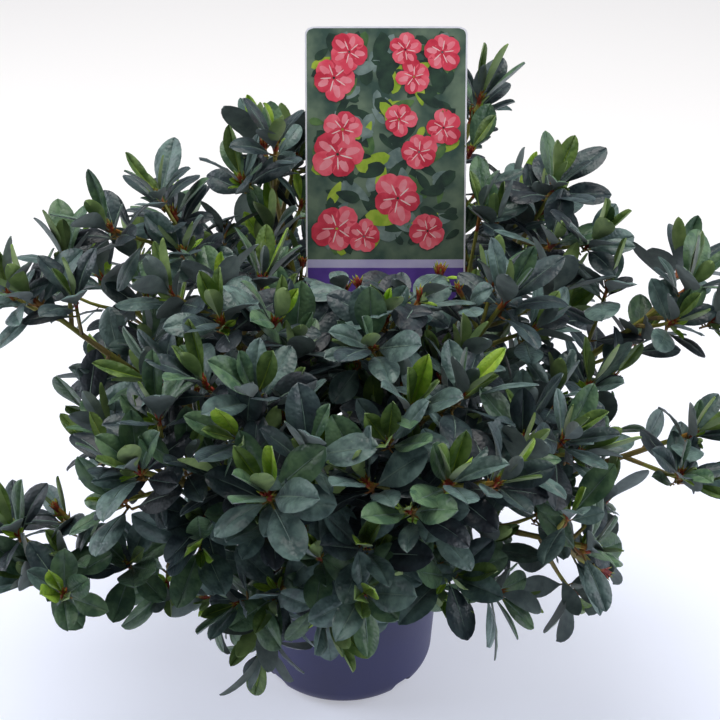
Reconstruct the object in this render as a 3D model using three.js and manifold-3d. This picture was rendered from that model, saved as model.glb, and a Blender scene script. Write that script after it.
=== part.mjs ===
// An evergreen azalea grown in a 13 cm nursery pot, with its plant label.
// Units are millimetres and +Z is up. The origin is the centre of the pot's flat underside,
// and the printed side of the label faces -Y. Headings are degrees from +X towards +Y.

import * as THREE from 'three';
import { mergeVertices } from 'three/addons/utils/BufferGeometryUtils.js';
import Module from 'manifold-3d';

const wasm = await Module();
wasm.setup();

// ---------------------------------------------------------------- driving dimensions

const GAP = 0.3;                   // clearance between pieces that touch
const FUSED_DETAIL = 0.12;         // slivers finer than this are smoothed out of fused foliage
const CORNER_SIZE = 0.002;         // corners nearer than this count as one
const MOST_ATTEMPTS = 12;          // times that a mass may be grown again
const DEG = Math.PI / 180;
const GOLDEN_TURN = 137.5 * DEG;   // turn from one leaf of a shoot to the next

const POT = {
  height: 100,
  rimRadius: 65,
  rimBand: 11,                     // height of the thick band below the rim
  bandStep: 2.2,                   // how far that band stands out from the wall
  footRadius: 49,                  // where the flat underside ends
  heelRadius: 12,                  // round heel between underside and wall
  wall: 1.4,
  floor: 2.0,
  notches: 6,                      // drainage notches cut in the heel
  notchWidth: 13,
  notchHeight: 5,
  notchTurn: 24,                   // heading of the first notch
  sides: 36,
};

const MIX_TOP = 90;                // level of the potting mix
const MIX_CROWN = 3;               // how far it heaps up in the middle
const MIX_SIDES = 24;

const STEM = {
  radius: 8.5,
  topRadius: 6.0,
  flare: 13,                       // radius of the root flare at the mix
  flareHeight: 14,
  height: 58,
  topRounding: 1.8,
  lean: [2.5, 2.0],                // how far its top stands off its foot, in X and Y
  sides: 10,
};

const LABEL = {
  width: 95,
  height: 170,
  corner: 5,
  thickness: 0.9,
  pegWidth: 11,
  pegShoulder: 16,                 // height over which the card narrows to its peg
  pegDepth: 34,                    // how far the peg goes into the mix
  foot: [26, -30],                 // where the peg enters the mix
  lean: 22.8,                      // degrees back from upright
  topLevel: 392,                   // height of the card's upper edge above the ground
  openAbove: 0.2,                  // share of the card's height below which leaves may cover it
};

const BOUGH = {
  footRadius: 2.5,
  tipRadius: 1.7,
  steps: 4,
  sides: 5,
  endBefore: 52,                   // distance from a bough's end to its leading shoot tip
  lowestStart: 9,                  // lowest and highest points where boughs leave the stem
  highestStart: 52,
  arch: 0.10,                      // rise of a flat bough's middle, as a share of its length
  sag: 0.08,                       // and fall of a steep one's
  archedBelow: 0.3,                // slope in radians that parts flat from steep
  fineSteps: 40,
  places: 19,                      // places on the stem tried for a bough
};

const SHOOT = {
  radius: 1.5,
  tipRadius: 1.3,
  sideShoots: 2,
  sideLength: 40,
  sideTilt: 52,                    // degrees between a side shoot and its stem
  budRadius: 2.3,
  budLength: 8,
};

const LEAF = {
  length: 46,
  width: 22,
  thickness: 1.5,
  perRosette: 6,
  alongStem: 3,
  trySizes: [1, 0.84, 0.7],        // a leaf that would touch something is tried smaller, then skipped
  rosetteDepth: 14,                // length of shoot over which a rosette's leaves join it
  innerTilt: 24,                   // degrees from the shoot's axis, youngest leaf
  outerTilt: 84,                   // and oldest leaf of a rosette
};

// Leading shoot of each mass of foliage: heading, reach from the pot's axis, height above ground.
const MASSES = {
  front_left_arch: [219, 207, 167],
  front_left_low: [254, 128, 148],
  front_middle: [275, 152, 206],
  front_right_low: [297, 133, 160],
  right_low: [321, 176, 172],
  left_shoulder: [234, 172, 246],
  front_left_top: [258, 164, 247],
  front_right_top: [290, 160, 246],
  centre_left: [252, 131, 280],
  centre_right: [287, 124, 268],
  right_shoulder: [320, 154, 236],
  right_reach: [343, 205, 213],
  crown_left_front: [230, 96, 294],
  crown_front: [288, 78, 297],
  crown_right_front: [333, 100, 290],
  right_tall: [0, 198, 272],
  crown_right_back: [25, 130, 294],
  left_tall: [190, 172, 282],
  crown_left: [168, 98, 310],
  crown_back_left: [122, 88, 328],
  crown_back_right: [50, 122, 340],
  back_left: [152, 172, 236],
  back_middle_left: [114, 166, 226],
  back_middle_right: [78, 170, 232],
  back_right: [47, 176, 224],
  left_low: [172, 142, 205],
  back_left_low: [122, 145, 152],
  back_right_low: [40, 145, 155],
};

const COLOURS = {
  pot: 0x3c3a55,
  mix: 0x2e2620,
  stem: 0x6f5a3c,
  bough: 0x7d6a3c,
  foliage: 0x3f6348,
  label: 0x5f7d62,
};

// ---------------------------------------------------------------- small helpers

const vec = (x, y, z) => new THREE.Vector3(x, y, z);
const mix = (from, to, share) => from + (to - from) * share;

// Seeded random numbers between 0 and 1, the same on every run.
function seeded(seed) {
  let state = seed >>> 0;
  return () => {
    state = (state + 0x6d2b79f5) >>> 0;
    let word = Math.imul(state ^ (state >>> 15), state | 1);
    word ^= word + Math.imul(word ^ (word >>> 7), word | 61);
    return ((word ^ (word >>> 14)) >>> 0) / 4294967296;
  };
}

// A point at a heading and reach round the pot's axis.
function around(heading, reach, height) {
  return vec(reach * Math.cos(heading * DEG), reach * Math.sin(heading * DEG), height);
}

// Two unit vectors square to a direction and to each other.
function squareTo(direction) {
  const other = Math.abs(direction.z) > 0.8 ? vec(1, 0, 0) : vec(0, 0, 1);
  const across = new THREE.Vector3().crossVectors(direction, other).normalize();
  const away = new THREE.Vector3().crossVectors(across, direction).normalize();
  return [across, away];
}

function pointsOfBezier(start, control, end, steps) {
  return new THREE.QuadraticBezierCurve3(start, control, end).getPoints(steps);
}

// A direction leaning by tilt from an axis, towards the side given by a turn about it.
function leaning(axis, tilt, turn) {
  const [across, away] = squareTo(axis);
  const sideways = across.multiplyScalar(Math.cos(turn)).addScaledVector(away, Math.sin(turn));
  return {
    along: axis.clone().multiplyScalar(Math.cos(tilt)).addScaledVector(sideways, Math.sin(tilt)),
    upper: axis.clone().multiplyScalar(Math.sin(tilt)).addScaledVector(sideways, -Math.cos(tilt)),
  };
}

// ---------------------------------------------------------------- solids

function solidFrom(geometry) {
  const bare = geometry.clone();
  bare.deleteAttribute('normal');
  bare.deleteAttribute('uv');
  const merged = mergeVertices(bare, 1e-4);
  return new wasm.Manifold(new wasm.Mesh({
    numProp: 3,
    vertProperties: Float32Array.from(merged.attributes.position.array),
    triVerts: Uint32Array.from(merged.index.array),
  }));
}

function geometryFrom(solid) {
  const mesh = solid.getMesh();
  const geometry = new THREE.BufferGeometry();
  geometry.setAttribute('position', new THREE.BufferAttribute(mesh.vertProperties, 3));
  geometry.setIndex(new THREE.BufferAttribute(mesh.triVerts, 1));
  return geometry;
}

// Whether a fused body stays closed once corners that almost touch are taken as one.
function isSound(geometry) {
  const places = new Map();
  const corner = (index) => {
    const point = vec(0, 0, 0).fromBufferAttribute(geometry.attributes.position, index);
    const key = point.toArray().map((value) => Math.round(value / CORNER_SIZE)).join(' ');
    if (!places.has(key)) places.set(key, places.size);
    return places.get(key);
  };
  const corners = Array.from(geometry.index.array, corner);
  const edges = new Map();
  corners.forEach((from, k) => {
    const to = corners[k % 3 === 2 ? k - 2 : k + 1];
    const key = `${Math.min(from, to)} ${Math.max(from, to)}`;
    edges.set(key, (edges.get(key) ?? 0) + 1);
  });
  return [...edges.values()].every((uses) => uses === 2);
}

// Joins closed pieces into one body. Loose scraps are dropped and sealed hollows filled.
function fuse(geometries) {
  const joined = wasm.Manifold.union(geometries.map(solidFrom)).simplify(FUSED_DETAIL);
  const bodies = joined.decompose();
  bodies.sort((a, b) => b.volume() - a.volume());
  return geometryFrom(bodies[0]);
}

function indexedGeometry(points, triangles) {
  const geometry = new THREE.BufferGeometry();
  geometry.setFromPoints(points);
  geometry.setIndex(triangles.flat());
  return geometry;
}

// A closed limb: a ring of points round each point of the path, with a radius for each ring.
function limb(path, radii, sides) {
  const points = [];
  const triangles = [];
  const [across] = squareTo(path.at(-1).clone().sub(path[0]).normalize());
  path.forEach((centre, ring) => {
    const before = path[Math.max(ring - 1, 0)];
    const after = path[Math.min(ring + 1, path.length - 1)];
    const tangent = after.clone().sub(before).normalize();
    const away = new THREE.Vector3().crossVectors(across, tangent).normalize();
    const side = new THREE.Vector3().crossVectors(tangent, away);
    for (let k = 0; k < sides; k += 1) {
      const angle = (k / sides) * 2 * Math.PI;
      points.push(centre.clone()
        .addScaledVector(side, radii[ring] * Math.cos(angle))
        .addScaledVector(away, radii[ring] * Math.sin(angle)));
    }
  });
  for (let ring = 0; ring + 1 < path.length; ring += 1) {
    for (let k = 0; k < sides; k += 1) {
      const here = ring * sides + k;
      const next = ring * sides + ((k + 1) % sides);
      triangles.push([here, here + sides, next], [next, here + sides, next + sides]);
    }
  }
  const last = (path.length - 1) * sides;
  for (let k = 1; k + 1 < sides; k += 1) {
    triangles.push([0, k, k + 1], [last, last + k + 1, last + k]);
  }
  return indexedGeometry(points, triangles);
}

// A leaf of ten faces: a six-sided outline, flat below and raised along its middle.
function leafPoints(leaf) {
  const { root, along, upper, length, width } = leaf;
  const side = new THREE.Vector3().crossVectors(upper, along).normalize();
  const at = (forward, sideways, up) => root.clone()
    .addScaledVector(along, forward * length)
    .addScaledVector(side, sideways * width)
    .addScaledVector(upper, up);
  return [
    at(0, 0, 0),
    at(0.36, 0.43, 0),
    at(0.74, 0.42, 0),
    at(1, 0, 0),
    at(0.74, -0.42, 0),
    at(0.36, -0.43, 0),
    at(0.52, 0, LEAF.thickness),
  ];
}

const LEAF_FACES = [
  [0, 6, 1], [1, 6, 2], [2, 6, 3], [3, 6, 4], [4, 6, 5], [5, 6, 0],
  [0, 1, 5], [1, 4, 5], [1, 2, 4], [2, 3, 4],
];

function revolve(profile, sides) {
  return new THREE.LatheGeometry(profile, sides).rotateX(Math.PI / 2);
}

function named(name, geometry, colour, roughness) {
  geometry.computeVertexNormals();
  const material = new THREE.MeshStandardMaterial({ color: colour, roughness, metalness: 0 });
  const mesh = new THREE.Mesh(geometry, material);
  mesh.name = name;
  return mesh;
}

// ---------------------------------------------------------------- pot and potting mix

const wallRadiusAt = (height) => {
  const heelTop = POT.footRadius + POT.heelRadius * 0.72;
  const share = (height - POT.heelRadius) / (POT.height - POT.heelRadius);
  return mix(heelTop, POT.rimRadius - POT.bandStep, share);
};

function heelCurve(inset, floor) {
  const points = [];
  const steps = 3;
  for (let k = 0; k <= steps; k += 1) {
    const angle = (k / steps) * 90 * DEG;
    const reach = (wallRadiusAt(POT.heelRadius) - POT.footRadius) * Math.sin(angle);
    const rise = (POT.heelRadius - floor) * (1 - Math.cos(angle));
    points.push(new THREE.Vector2(POT.footRadius + reach - inset, floor + rise));
  }
  return points;
}

function makePot() {
  const bandBottom = POT.height - POT.rimBand;
  const outer = [
    new THREE.Vector2(0, 0),
    ...heelCurve(0, 0),
    new THREE.Vector2(wallRadiusAt(bandBottom), bandBottom - POT.bandStep / 2),
    new THREE.Vector2(POT.rimRadius, bandBottom),
    new THREE.Vector2(POT.rimRadius, POT.height),
  ];
  const inner = [
    new THREE.Vector2(POT.rimRadius - POT.bandStep - POT.wall, POT.height),
    ...heelCurve(POT.wall, POT.floor).reverse(),
    new THREE.Vector2(0, POT.floor),
  ];
  const shell = solidFrom(revolve([...outer, ...inner], POT.sides));
  const notches = [];
  for (let k = 0; k < POT.notches; k += 1) {
    const heading = POT.notchTurn + (k * 360) / POT.notches;
    const notch = new THREE.BoxGeometry(POT.heelRadius, POT.notchWidth, POT.notchHeight * 2);
    notch.translate(POT.footRadius + POT.heelRadius * 0.32 + POT.heelRadius / 2, 0, 0);
    notch.rotateZ(heading * DEG);
    notches.push(solidFrom(notch));
  }
  return geometryFrom(shell.subtract(wasm.Manifold.union(notches)));
}

function makeMix(pegHole) {
  const bottom = heelCurve(POT.wall + GAP, POT.floor + GAP);
  const edge = wallRadiusAt(MIX_TOP) - POT.wall - GAP - 0.4;
  const plug = revolve([
    new THREE.Vector2(0, POT.floor + GAP),
    ...bottom,
    new THREE.Vector2(edge, MIX_TOP - 2),
    new THREE.Vector2(edge - 5, MIX_TOP),
    new THREE.Vector2(STEM.flare + 4, MIX_TOP + MIX_CROWN),
    new THREE.Vector2(0, MIX_TOP + MIX_CROWN),
  ], MIX_SIDES);
  return geometryFrom(solidFrom(plug).subtract(solidFrom(pegHole)));
}

// ---------------------------------------------------------------- label

const labelUp = vec(0, Math.sin(LABEL.lean * DEG), Math.cos(LABEL.lean * DEG));
const labelOut = vec(0, -Math.cos(LABEL.lean * DEG), Math.sin(LABEL.lean * DEG));
const labelFoot = vec(LABEL.foot[0], LABEL.foot[1], MIX_TOP);
const labelTop = (LABEL.topLevel - MIX_TOP) / labelUp.z;
const cardBottom = labelTop - LABEL.height;

// Turns a shape drawn with X across the card and Y up it into the label's leaning plane.
function standAsLabel(geometry) {
  return geometry.rotateX((90 - LABEL.lean) * DEG).translate(labelFoot.x, labelFoot.y, labelFoot.z);
}

function makeLabel() {
  const half = LABEL.width / 2;
  const peg = LABEL.pegWidth / 2;
  const round = LABEL.corner;
  const outline = new THREE.Shape();
  outline.moveTo(-peg, -LABEL.pegDepth + peg);
  outline.lineTo(0, -LABEL.pegDepth);
  outline.lineTo(peg, -LABEL.pegDepth + peg);
  outline.lineTo(peg, cardBottom - LABEL.pegShoulder);
  outline.lineTo(peg * 3, cardBottom);
  outline.lineTo(half - round, cardBottom);
  outline.absarc(half - round, cardBottom + round, round, -Math.PI / 2, 0);
  outline.absarc(half - round, labelTop - round, round, 0, Math.PI / 2);
  outline.absarc(-half + round, labelTop - round, round, Math.PI / 2, Math.PI);
  outline.absarc(-half + round, cardBottom + round, round, Math.PI, Math.PI * 1.5);
  outline.lineTo(-peg * 3, cardBottom);
  outline.lineTo(-peg, cardBottom - LABEL.pegShoulder);
  const card = new THREE.ExtrudeGeometry(outline, {
    depth: LABEL.thickness, bevelEnabled: false, curveSegments: 4,
  });
  card.translate(0, 0, -LABEL.thickness / 2);
  return geometryFrom(solidFrom(standAsLabel(card)));
}

function makePegHole() {
  const depth = LABEL.pegDepth + GAP;
  const hole = new THREE.BoxGeometry(
    LABEL.pegWidth + 2 * GAP, depth + 20, LABEL.thickness + 2 * GAP);
  hole.translate(0, 10 - depth / 2, 0);
  return standAsLabel(hole);
}

// Whether a leaf keeps clear of the label, and of the view of the card's printed face.
function clearOfLabel(points) {
  const across = points.map((p) => p.x - labelFoot.x);
  const up = points.map((p) => p.clone().sub(labelFoot).dot(labelUp));
  const out = points.map((p) => p.clone().sub(labelFoot).dot(labelOut));
  const margin = 1.2;
  const beside = (half) => Math.min(...across) > half + margin || Math.max(...across) < -half - margin;
  const offPlane = Math.min(...out) > margin || Math.max(...out) < -margin;
  const clearOfCard = beside(LABEL.width / 2) || Math.max(...up) < cardBottom - margin
    || Math.min(...up) > labelTop + margin || offPlane;
  const clearOfPeg = beside(LABEL.pegWidth * 1.5) || Math.min(...up) > cardBottom || offPlane;
  const open = cardBottom + LABEL.height * LABEL.openAbove;
  const inFront = Math.max(...out) > 0 && Math.max(...up) > open && !beside(LABEL.width / 2);
  return clearOfCard && clearOfPeg && !inFront;
}

// ---------------------------------------------------------------- stem and boughs

const stemFoot = vec(0, 0, MIX_TOP + MIX_CROWN + GAP);

function stemCentreAt(height) {
  const bend = (height / STEM.height) ** 2;
  return stemFoot.clone().add(vec(STEM.lean[0] * bend, STEM.lean[1] * bend, height));
}

function stemRadiusAt(height) {
  const flare = Math.max(0, 1 - height / STEM.flareHeight) ** 2;
  return mix(STEM.radius, STEM.topRadius, height / STEM.height) + (STEM.flare - STEM.radius) * flare;
}

// The short stem, or with a clearance the space that boughs keep off.
function makeStem(clearance) {
  const levels = [0, 0.07, 0.14, 0.24, 0.5, 0.8, 0.96, 1].map((share) => share * STEM.height);
  const path = levels.map(stemCentreAt);
  const radii = levels.map((level) => stemRadiusAt(level) + clearance);
  radii[radii.length - 1] -= STEM.topRounding;
  return limb(path, radii, STEM.sides);
}

// One bough, leaving the stem at a level and a few degrees off its shoot's heading, and the
// foliage stem that carries on from its end.
function routeBough(plan, level, turn) {
  const { tip, heading, slope } = plan;
  const start = stemCentreAt(level).add(around(heading + turn, stemRadiusAt(level) / 3, 0));
  const toTip = tip.clone().sub(start);
  const length = toTip.length();
  const control = start.clone().addScaledVector(toTip, 0.5);
  control.z += length * (slope < BOUGH.archedBelow ? BOUGH.arch : -BOUGH.sag);
  const swing = around(heading + turn, length, 0).sub(around(heading, length, 0));
  control.addScaledVector(swing, 0.32);
  const whole = pointsOfBezier(start, control, tip, BOUGH.fineSteps);
  const cut = Math.round(BOUGH.fineSteps * (1 - BOUGH.endBefore / length));
  const path = [];
  for (let k = 0; k <= BOUGH.steps; k += 1) {
    path.push(whole[Math.round((cut * k) / BOUGH.steps)]);
  }
  const end = path.at(-1);
  const onward = whole[cut + 1].clone().sub(whole[cut - 1]).normalize();
  return {
    ...plan,
    path,
    radii: path.map((_, k) => mix(BOUGH.footRadius, BOUGH.tipRadius, k / BOUGH.steps)),
    stemPath: [
      end.clone().addScaledVector(onward, GAP),
      whole[Math.round((cut + BOUGH.fineSteps) / 2)],
      tip,
    ],
    centre: tip.clone().lerp(end, 0.35),
  };
}

function distanceToSegment(point, start, end) {
  const nearest = new THREE.Line3(start, end).closestPointToPoint(point, true, new THREE.Vector3());
  return nearest.distanceTo(point);
}

// Whether a ball round a point touches none of these boughs.
function clearOfLimbs(point, radius, boughs) {
  return boughs.every(({ path, radii }) => path.slice(1).every((end, k) => (
    distanceToSegment(point, path[k], end) > radii[k] + radius + GAP)));
}

function clearOfPeg(point, radius) {
  const fromFoot = point.clone().sub(labelFoot);
  const margin = radius + 2 * GAP;
  return Math.abs(fromFoot.x) > LABEL.pegWidth / 2 + margin
    || Math.abs(fromFoot.dot(labelOut)) > LABEL.thickness / 2 + margin;
}

function insideStem(point) {
  const level = Math.min(point.z - stemFoot.z, STEM.height);
  const centre = stemCentreAt(level);
  return Math.hypot(point.x - centre.x, point.y - centre.y) < stemRadiusAt(level) - 1;
}

function boughIsClear(bough, earlier) {
  const line = [...bough.path, ...bough.stemPath];
  return line.slice(1).every((end, k) => [0, 0.1, 0.2, 0.4, 0.6, 0.8, 1].every((share) => {
    const point = line[k].clone().lerp(end, share);
    if (insideStem(point)) return true;
    const radius = BOUGH.footRadius + 0.15;
    return clearOfLimbs(point, radius, earlier) && clearOfPeg(point, radius);
  }));
}

// Boughs that run flatter leave the stem lower down. One that would touch another leaves it at
// the nearest free place instead.
function planBoughs() {
  const plans = Object.entries(MASSES).map(([name, [heading, reach, height]], order) => {
    const slope = Math.atan2(height - MIX_TOP - STEM.height / 2, reach);
    return { name, order, heading, slope, tip: around(heading, reach, height) };
  });
  plans.sort((a, b) => a.slope - b.slope);
  const routed = [];
  plans.forEach((plan, rank) => {
    const level = mix(BOUGH.lowestStart, BOUGH.highestStart, rank / (plans.length - 1));
    const tries = [];
    for (let k = 0; k < BOUGH.places; k += 1) {
      const turn = 7 * Math.ceil(k / 2) * (k % 2 ? 1 : -1);
      [0, -3, 3, -6, 6].forEach((shift) => tries.push([level + shift, turn]));
    }
    const routes = tries.map(([height, turn]) => routeBough(plan, height, turn));
    routed.push(routes.find((route) => boughIsClear(route, routed)) ?? routes[0]);
  });
  return routed.sort((a, b) => a.order - b.order);
}

const plans = planBoughs();

// A bough starts inside the stem and is cut back to stand just clear of it.
function makeBough(plan) {
  const whole = solidFrom(limb(plan.path, plan.radii, BOUGH.sides));
  return geometryFrom(whole.subtract(solidFrom(makeStem(GAP))));
}

// ---------------------------------------------------------------- foliage

// A point belongs to a mass where that mass's centre is the nearest, by a small margin.
function inOwnSpace(point, own, margin) {
  return plans.every((other) => {
    if (other === own) return true;
    const apart = other.centre.distanceTo(own.centre);
    const lead = point.distanceToSquared(other.centre) - point.distanceToSquared(own.centre);
    return lead / (2 * apart) > margin;
  });
}

function clearOfPot(point) {
  const outside = Math.hypot(point.x, point.y) > POT.rimRadius + 2;
  return point.z > POT.height + 1.5 || (outside && point.z > 25);
}

function leafFits(leaf, own) {
  const points = leafPoints(leaf);
  const edges = points.slice(0, 6).map((p, k) => p.clone().lerp(points[(k + 1) % 6], 0.5));
  const all = [...points, ...edges];
  if (!all.every((p) => inOwnSpace(p, own, GAP))) return false;
  if (!all.every(clearOfPot)) return false;
  if (!clearOfLabel(points)) return false;
  return [0.12, 0.3, 0.5, 0.7, 0.95].every((share) => {
    const halfWidth = leaf.width * 0.45 * Math.sin(Math.PI * Math.min(share, 0.9));
    const point = leaf.root.clone().addScaledVector(leaf.along, leaf.length * share);
    return clearOfLimbs(point, Math.max(halfWidth, 1), plans);
  });
}

function twigFits(path, radius, own) {
  const middles = path.slice(1).map((p, k) => p.clone().lerp(path[k], 0.5));
  const all = [...path.slice(1), ...middles];
  return all.every((p) => inOwnSpace(p, own, radius + GAP) && clearOfPot(p))
    && all.every((p) => clearOfLimbs(p, radius, plans))
    && clearOfLabel(path);
}

// The outer part of a leaf as a solid, without the narrow root where leaves come close.
function bladeOf(leaf) {
  const cut = 0.22;
  const root = leaf.root.clone().addScaledVector(leaf.along, leaf.length * cut);
  const blade = { ...leaf, root, length: leaf.length * (1 - cut) };
  return solidFrom(indexedGeometry(leafPoints(blade), LEAF_FACES));
}

function clearOfBlades(leaf, blades) {
  const blade = bladeOf(leaf);
  return blades.every((other) => blade.intersect(other).isEmpty());
}

// Leaves round the end of a shoot, the youngest inside and steep, the oldest flat and long.
function rosette(tip, axis, size, random) {
  const leaves = [];
  const phase = random() * 2 * Math.PI;
  for (let k = 0; k < LEAF.perRosette; k += 1) {
    const age = k / (LEAF.perRosette - 1);
    const tilt = mix(LEAF.innerTilt, LEAF.outerTilt, age) * DEG;
    const turned = leaning(axis, tilt, phase + k * GOLDEN_TURN);
    const length = LEAF.length * size * mix(0.7, 1, Math.sqrt(age)) * mix(0.92, 1.08, random());
    leaves.push({
      ...turned,
      root: tip.clone().addScaledVector(axis, 1 - LEAF.rosetteDepth * age),
      length,
      width: LEAF.width * (length / LEAF.length),
    });
  }
  return leaves;
}

// A twig that swells into a bud at its tip.
function buddingTwig(path, footRadius) {
  const tip = path.at(-1);
  const axis = tip.clone().sub(path.at(-2)).normalize();
  const swell = tip.clone().addScaledVector(axis, -SHOOT.budLength / 2);
  const end = tip.clone().addScaledVector(axis, SHOOT.budLength / 2);
  const inner = path.slice(0, -1);
  const radii = inner.map(() => footRadius);
  return limb([...inner, swell, end], [...radii, SHOOT.budRadius, 0.5], 3);
}

// One mass: a stem that carries on from the bough, side shoots, and leaves fused to them all.
function growFoliage(plan, seed) {
  const random = seeded(seed);
  const pieces = [buddingTwig(plan.stemPath, SHOOT.radius)];
  const [start, middle, tip] = plan.stemPath;
  const stemAxis = tip.clone().sub(middle).normalize();
  const shoots = [{ tip, axis: stemAxis, size: 1 }];
  for (let k = 0; k < SHOOT.sideShoots; k += 1) {
    const share = 0.2 + (0.6 * k) / SHOOT.sideShoots;
    const root = share < 0.5 ? start.clone().lerp(middle, share * 2) : middle.clone().lerp(tip, share * 2 - 1);
    const turn = random() * 0.9 + k * GOLDEN_TURN + plan.order;
    const tilt = (SHOOT.sideTilt + 12 * (random() - 0.5)) * DEG;
    const { along } = leaning(stemAxis, tilt, turn);
    along.z += 0.25;
    along.normalize();
    for (let length = SHOOT.sideLength; length > SHOOT.sideLength * 0.45; length *= 0.82) {
      const end = root.clone().addScaledVector(along, length);
      if (twigFits([root, end], SHOOT.radius, plan)) {
        pieces.push(buddingTwig([root, end], SHOOT.tipRadius));
        shoots.push({ tip: end, axis: along, size: 0.92 });
        break;
      }
    }
  }
  const leaves = [];
  shoots.forEach((shoot) => {
    leaves.push(...rosette(shoot.tip, shoot.axis, shoot.size, random));
  });
  for (let k = 0; k < LEAF.alongStem; k += 1) {
    const root = start.clone().lerp(middle, 0.45 + 0.45 * (k / LEAF.alongStem));
    const turned = leaning(stemAxis, 62 * DEG, k * GOLDEN_TURN + plan.order * 2);
    leaves.push({ ...turned, root, length: LEAF.length * 0.95, width: LEAF.width });
  }
  const blades = [];
  leaves.forEach((leaf) => {
    const fitting = LEAF.trySizes.map((size) => (
      { ...leaf, length: leaf.length * size, width: leaf.width * size }));
    const chosen = fitting.find((candidate) => (
      leafFits(candidate, plan) && clearOfBlades(candidate, blades)));
    if (!chosen) return;
    blades.push(bladeOf(chosen));
    pieces.push(indexedGeometry(leafPoints(chosen), LEAF_FACES));
  });
  return fuse(pieces);
}

// Grows a mass, again from another seed where its fused body would not be sound.
function makeFoliage(plan) {
  for (let attempt = 0; ; attempt += 1) {
    const geometry = growFoliage(plan, 1000 + plan.order * 77 + attempt);
    if (isSound(geometry) || attempt === MOST_ATTEMPTS) return geometry;
  }
}

// ---------------------------------------------------------------- assembly

const group = new THREE.Group();
group.name = 'potted_azalea';
group.add(named('pot', makePot(), COLOURS.pot, 0.55));
group.add(named('potting_mix', makeMix(makePegHole()), COLOURS.mix, 0.95));
group.add(named('plant_label', makeLabel(), COLOURS.label, 0.4));
group.add(named('main_stem', makeStem(0), COLOURS.stem, 0.85));
plans.forEach((plan) => {
  group.add(named(`bough_${plan.name}`, makeBough(plan), COLOURS.bough, 0.8));
});
plans.forEach((plan) => {
  group.add(named(`foliage_${plan.name}`, makeFoliage(plan), COLOURS.foliage, 0.6));
});

export default group;
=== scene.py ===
"""An evergreen azalea in its nursery pot, with its plant label.

Pieces are worked out in millimetres and become meshes in metres. +Z is up, the origin is the
middle of the pot's underside, the label's print faces -Y, and headings run from +X towards +Y.
"""

import functools
import math
from collections import defaultdict, namedtuple

import bmesh
import bpy
import numpy as np
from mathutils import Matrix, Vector


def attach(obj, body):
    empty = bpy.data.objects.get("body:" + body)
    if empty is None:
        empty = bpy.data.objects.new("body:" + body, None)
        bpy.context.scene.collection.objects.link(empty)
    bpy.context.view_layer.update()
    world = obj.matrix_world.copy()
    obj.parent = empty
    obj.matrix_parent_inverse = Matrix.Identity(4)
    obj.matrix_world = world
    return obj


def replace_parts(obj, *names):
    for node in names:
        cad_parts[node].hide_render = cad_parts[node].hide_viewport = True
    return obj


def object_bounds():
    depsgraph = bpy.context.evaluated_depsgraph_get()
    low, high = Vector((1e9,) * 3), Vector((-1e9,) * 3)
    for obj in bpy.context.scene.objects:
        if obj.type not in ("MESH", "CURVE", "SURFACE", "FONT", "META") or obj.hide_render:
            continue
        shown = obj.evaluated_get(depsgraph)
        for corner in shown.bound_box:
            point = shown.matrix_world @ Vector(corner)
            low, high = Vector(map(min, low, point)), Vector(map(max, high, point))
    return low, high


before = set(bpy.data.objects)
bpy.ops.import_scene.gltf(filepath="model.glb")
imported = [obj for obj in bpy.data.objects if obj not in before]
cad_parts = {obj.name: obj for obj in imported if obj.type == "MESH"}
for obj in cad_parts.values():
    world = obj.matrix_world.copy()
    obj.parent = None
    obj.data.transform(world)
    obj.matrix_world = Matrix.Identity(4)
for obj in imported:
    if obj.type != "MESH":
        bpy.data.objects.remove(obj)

cad_box = [list(corner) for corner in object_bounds()]

# ---------------------------------------------------------------- sizes, in millimetres

MM = 0.001
GOLDEN_TURN = math.radians(137.5)   # turn from one leaf of a shoot to the next
UP = np.array([0.0, 0.0, 1.0])
BODY = "root"

POT = dict(
    height=100, rim_radius=65, rim_band=11, band_step=2.2, foot_radius=49, heel_radius=12,
    wall=1.4, floor=11.4, plate=1.6, ring=3, notches=4, notch_width=16, notch_height=9.2,
    notch_turn=42, notch_start=7, notch_length=24, sides=144, crease=42,
)
LIP_ROUND = 1.1                     # rounding of the rim's edges

MIX_TOP = 90
MIX_CROWN = 3
CRUMBS = 1500

STEM = dict(
    radius=8.5, top_radius=6.0, flare=13, flare_height=14, height=58, lean=(2.5, 2.0), foot=93.3,
)

LABEL = dict(
    width=95, height=170, corner=5, thickness=0.6, peg_width=11, peg_shoulder=16, peg_depth=34,
    foot=(26, -30), lean=math.radians(22.8), top_level=392, open_above=0.2, bow=0.9, border=1.0,
)

CAMERA = dict(place=(10.7, -746.7, 690.1), dip=32, lens=75, sensor=36)
VIEW = 720                          # steps across the camera's view, and down it

SIDE_SHOOT = dict(count=2, length=40, tilt=52)
FINE_SHOOT = dict(
    count=6, tries=80, shortest=22, longest=48, apart=23, above_tip=5, past_tip=7, tilt=(34, 72),
)
SPUR = dict(count=3, tries=36, shortest=12, longest=26, apart=20, tilt=(45, 85))
CLEAR_TIP = 8                       # steps that a shoot's end keeps from a window of open air
FEW_FINE_SHOOTS = {
    "right_reach": 1, "right_tall": 3, "front_left_arch": 2, "left_tall": 3, "right_low": 4,
    "crown_back_right": 3,
}
LOW_SHOOT = 190                     # below this height the leaves are greener, and old ones hang
HANGING = 150                       # below this height a shoot's end no longer turns up

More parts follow.
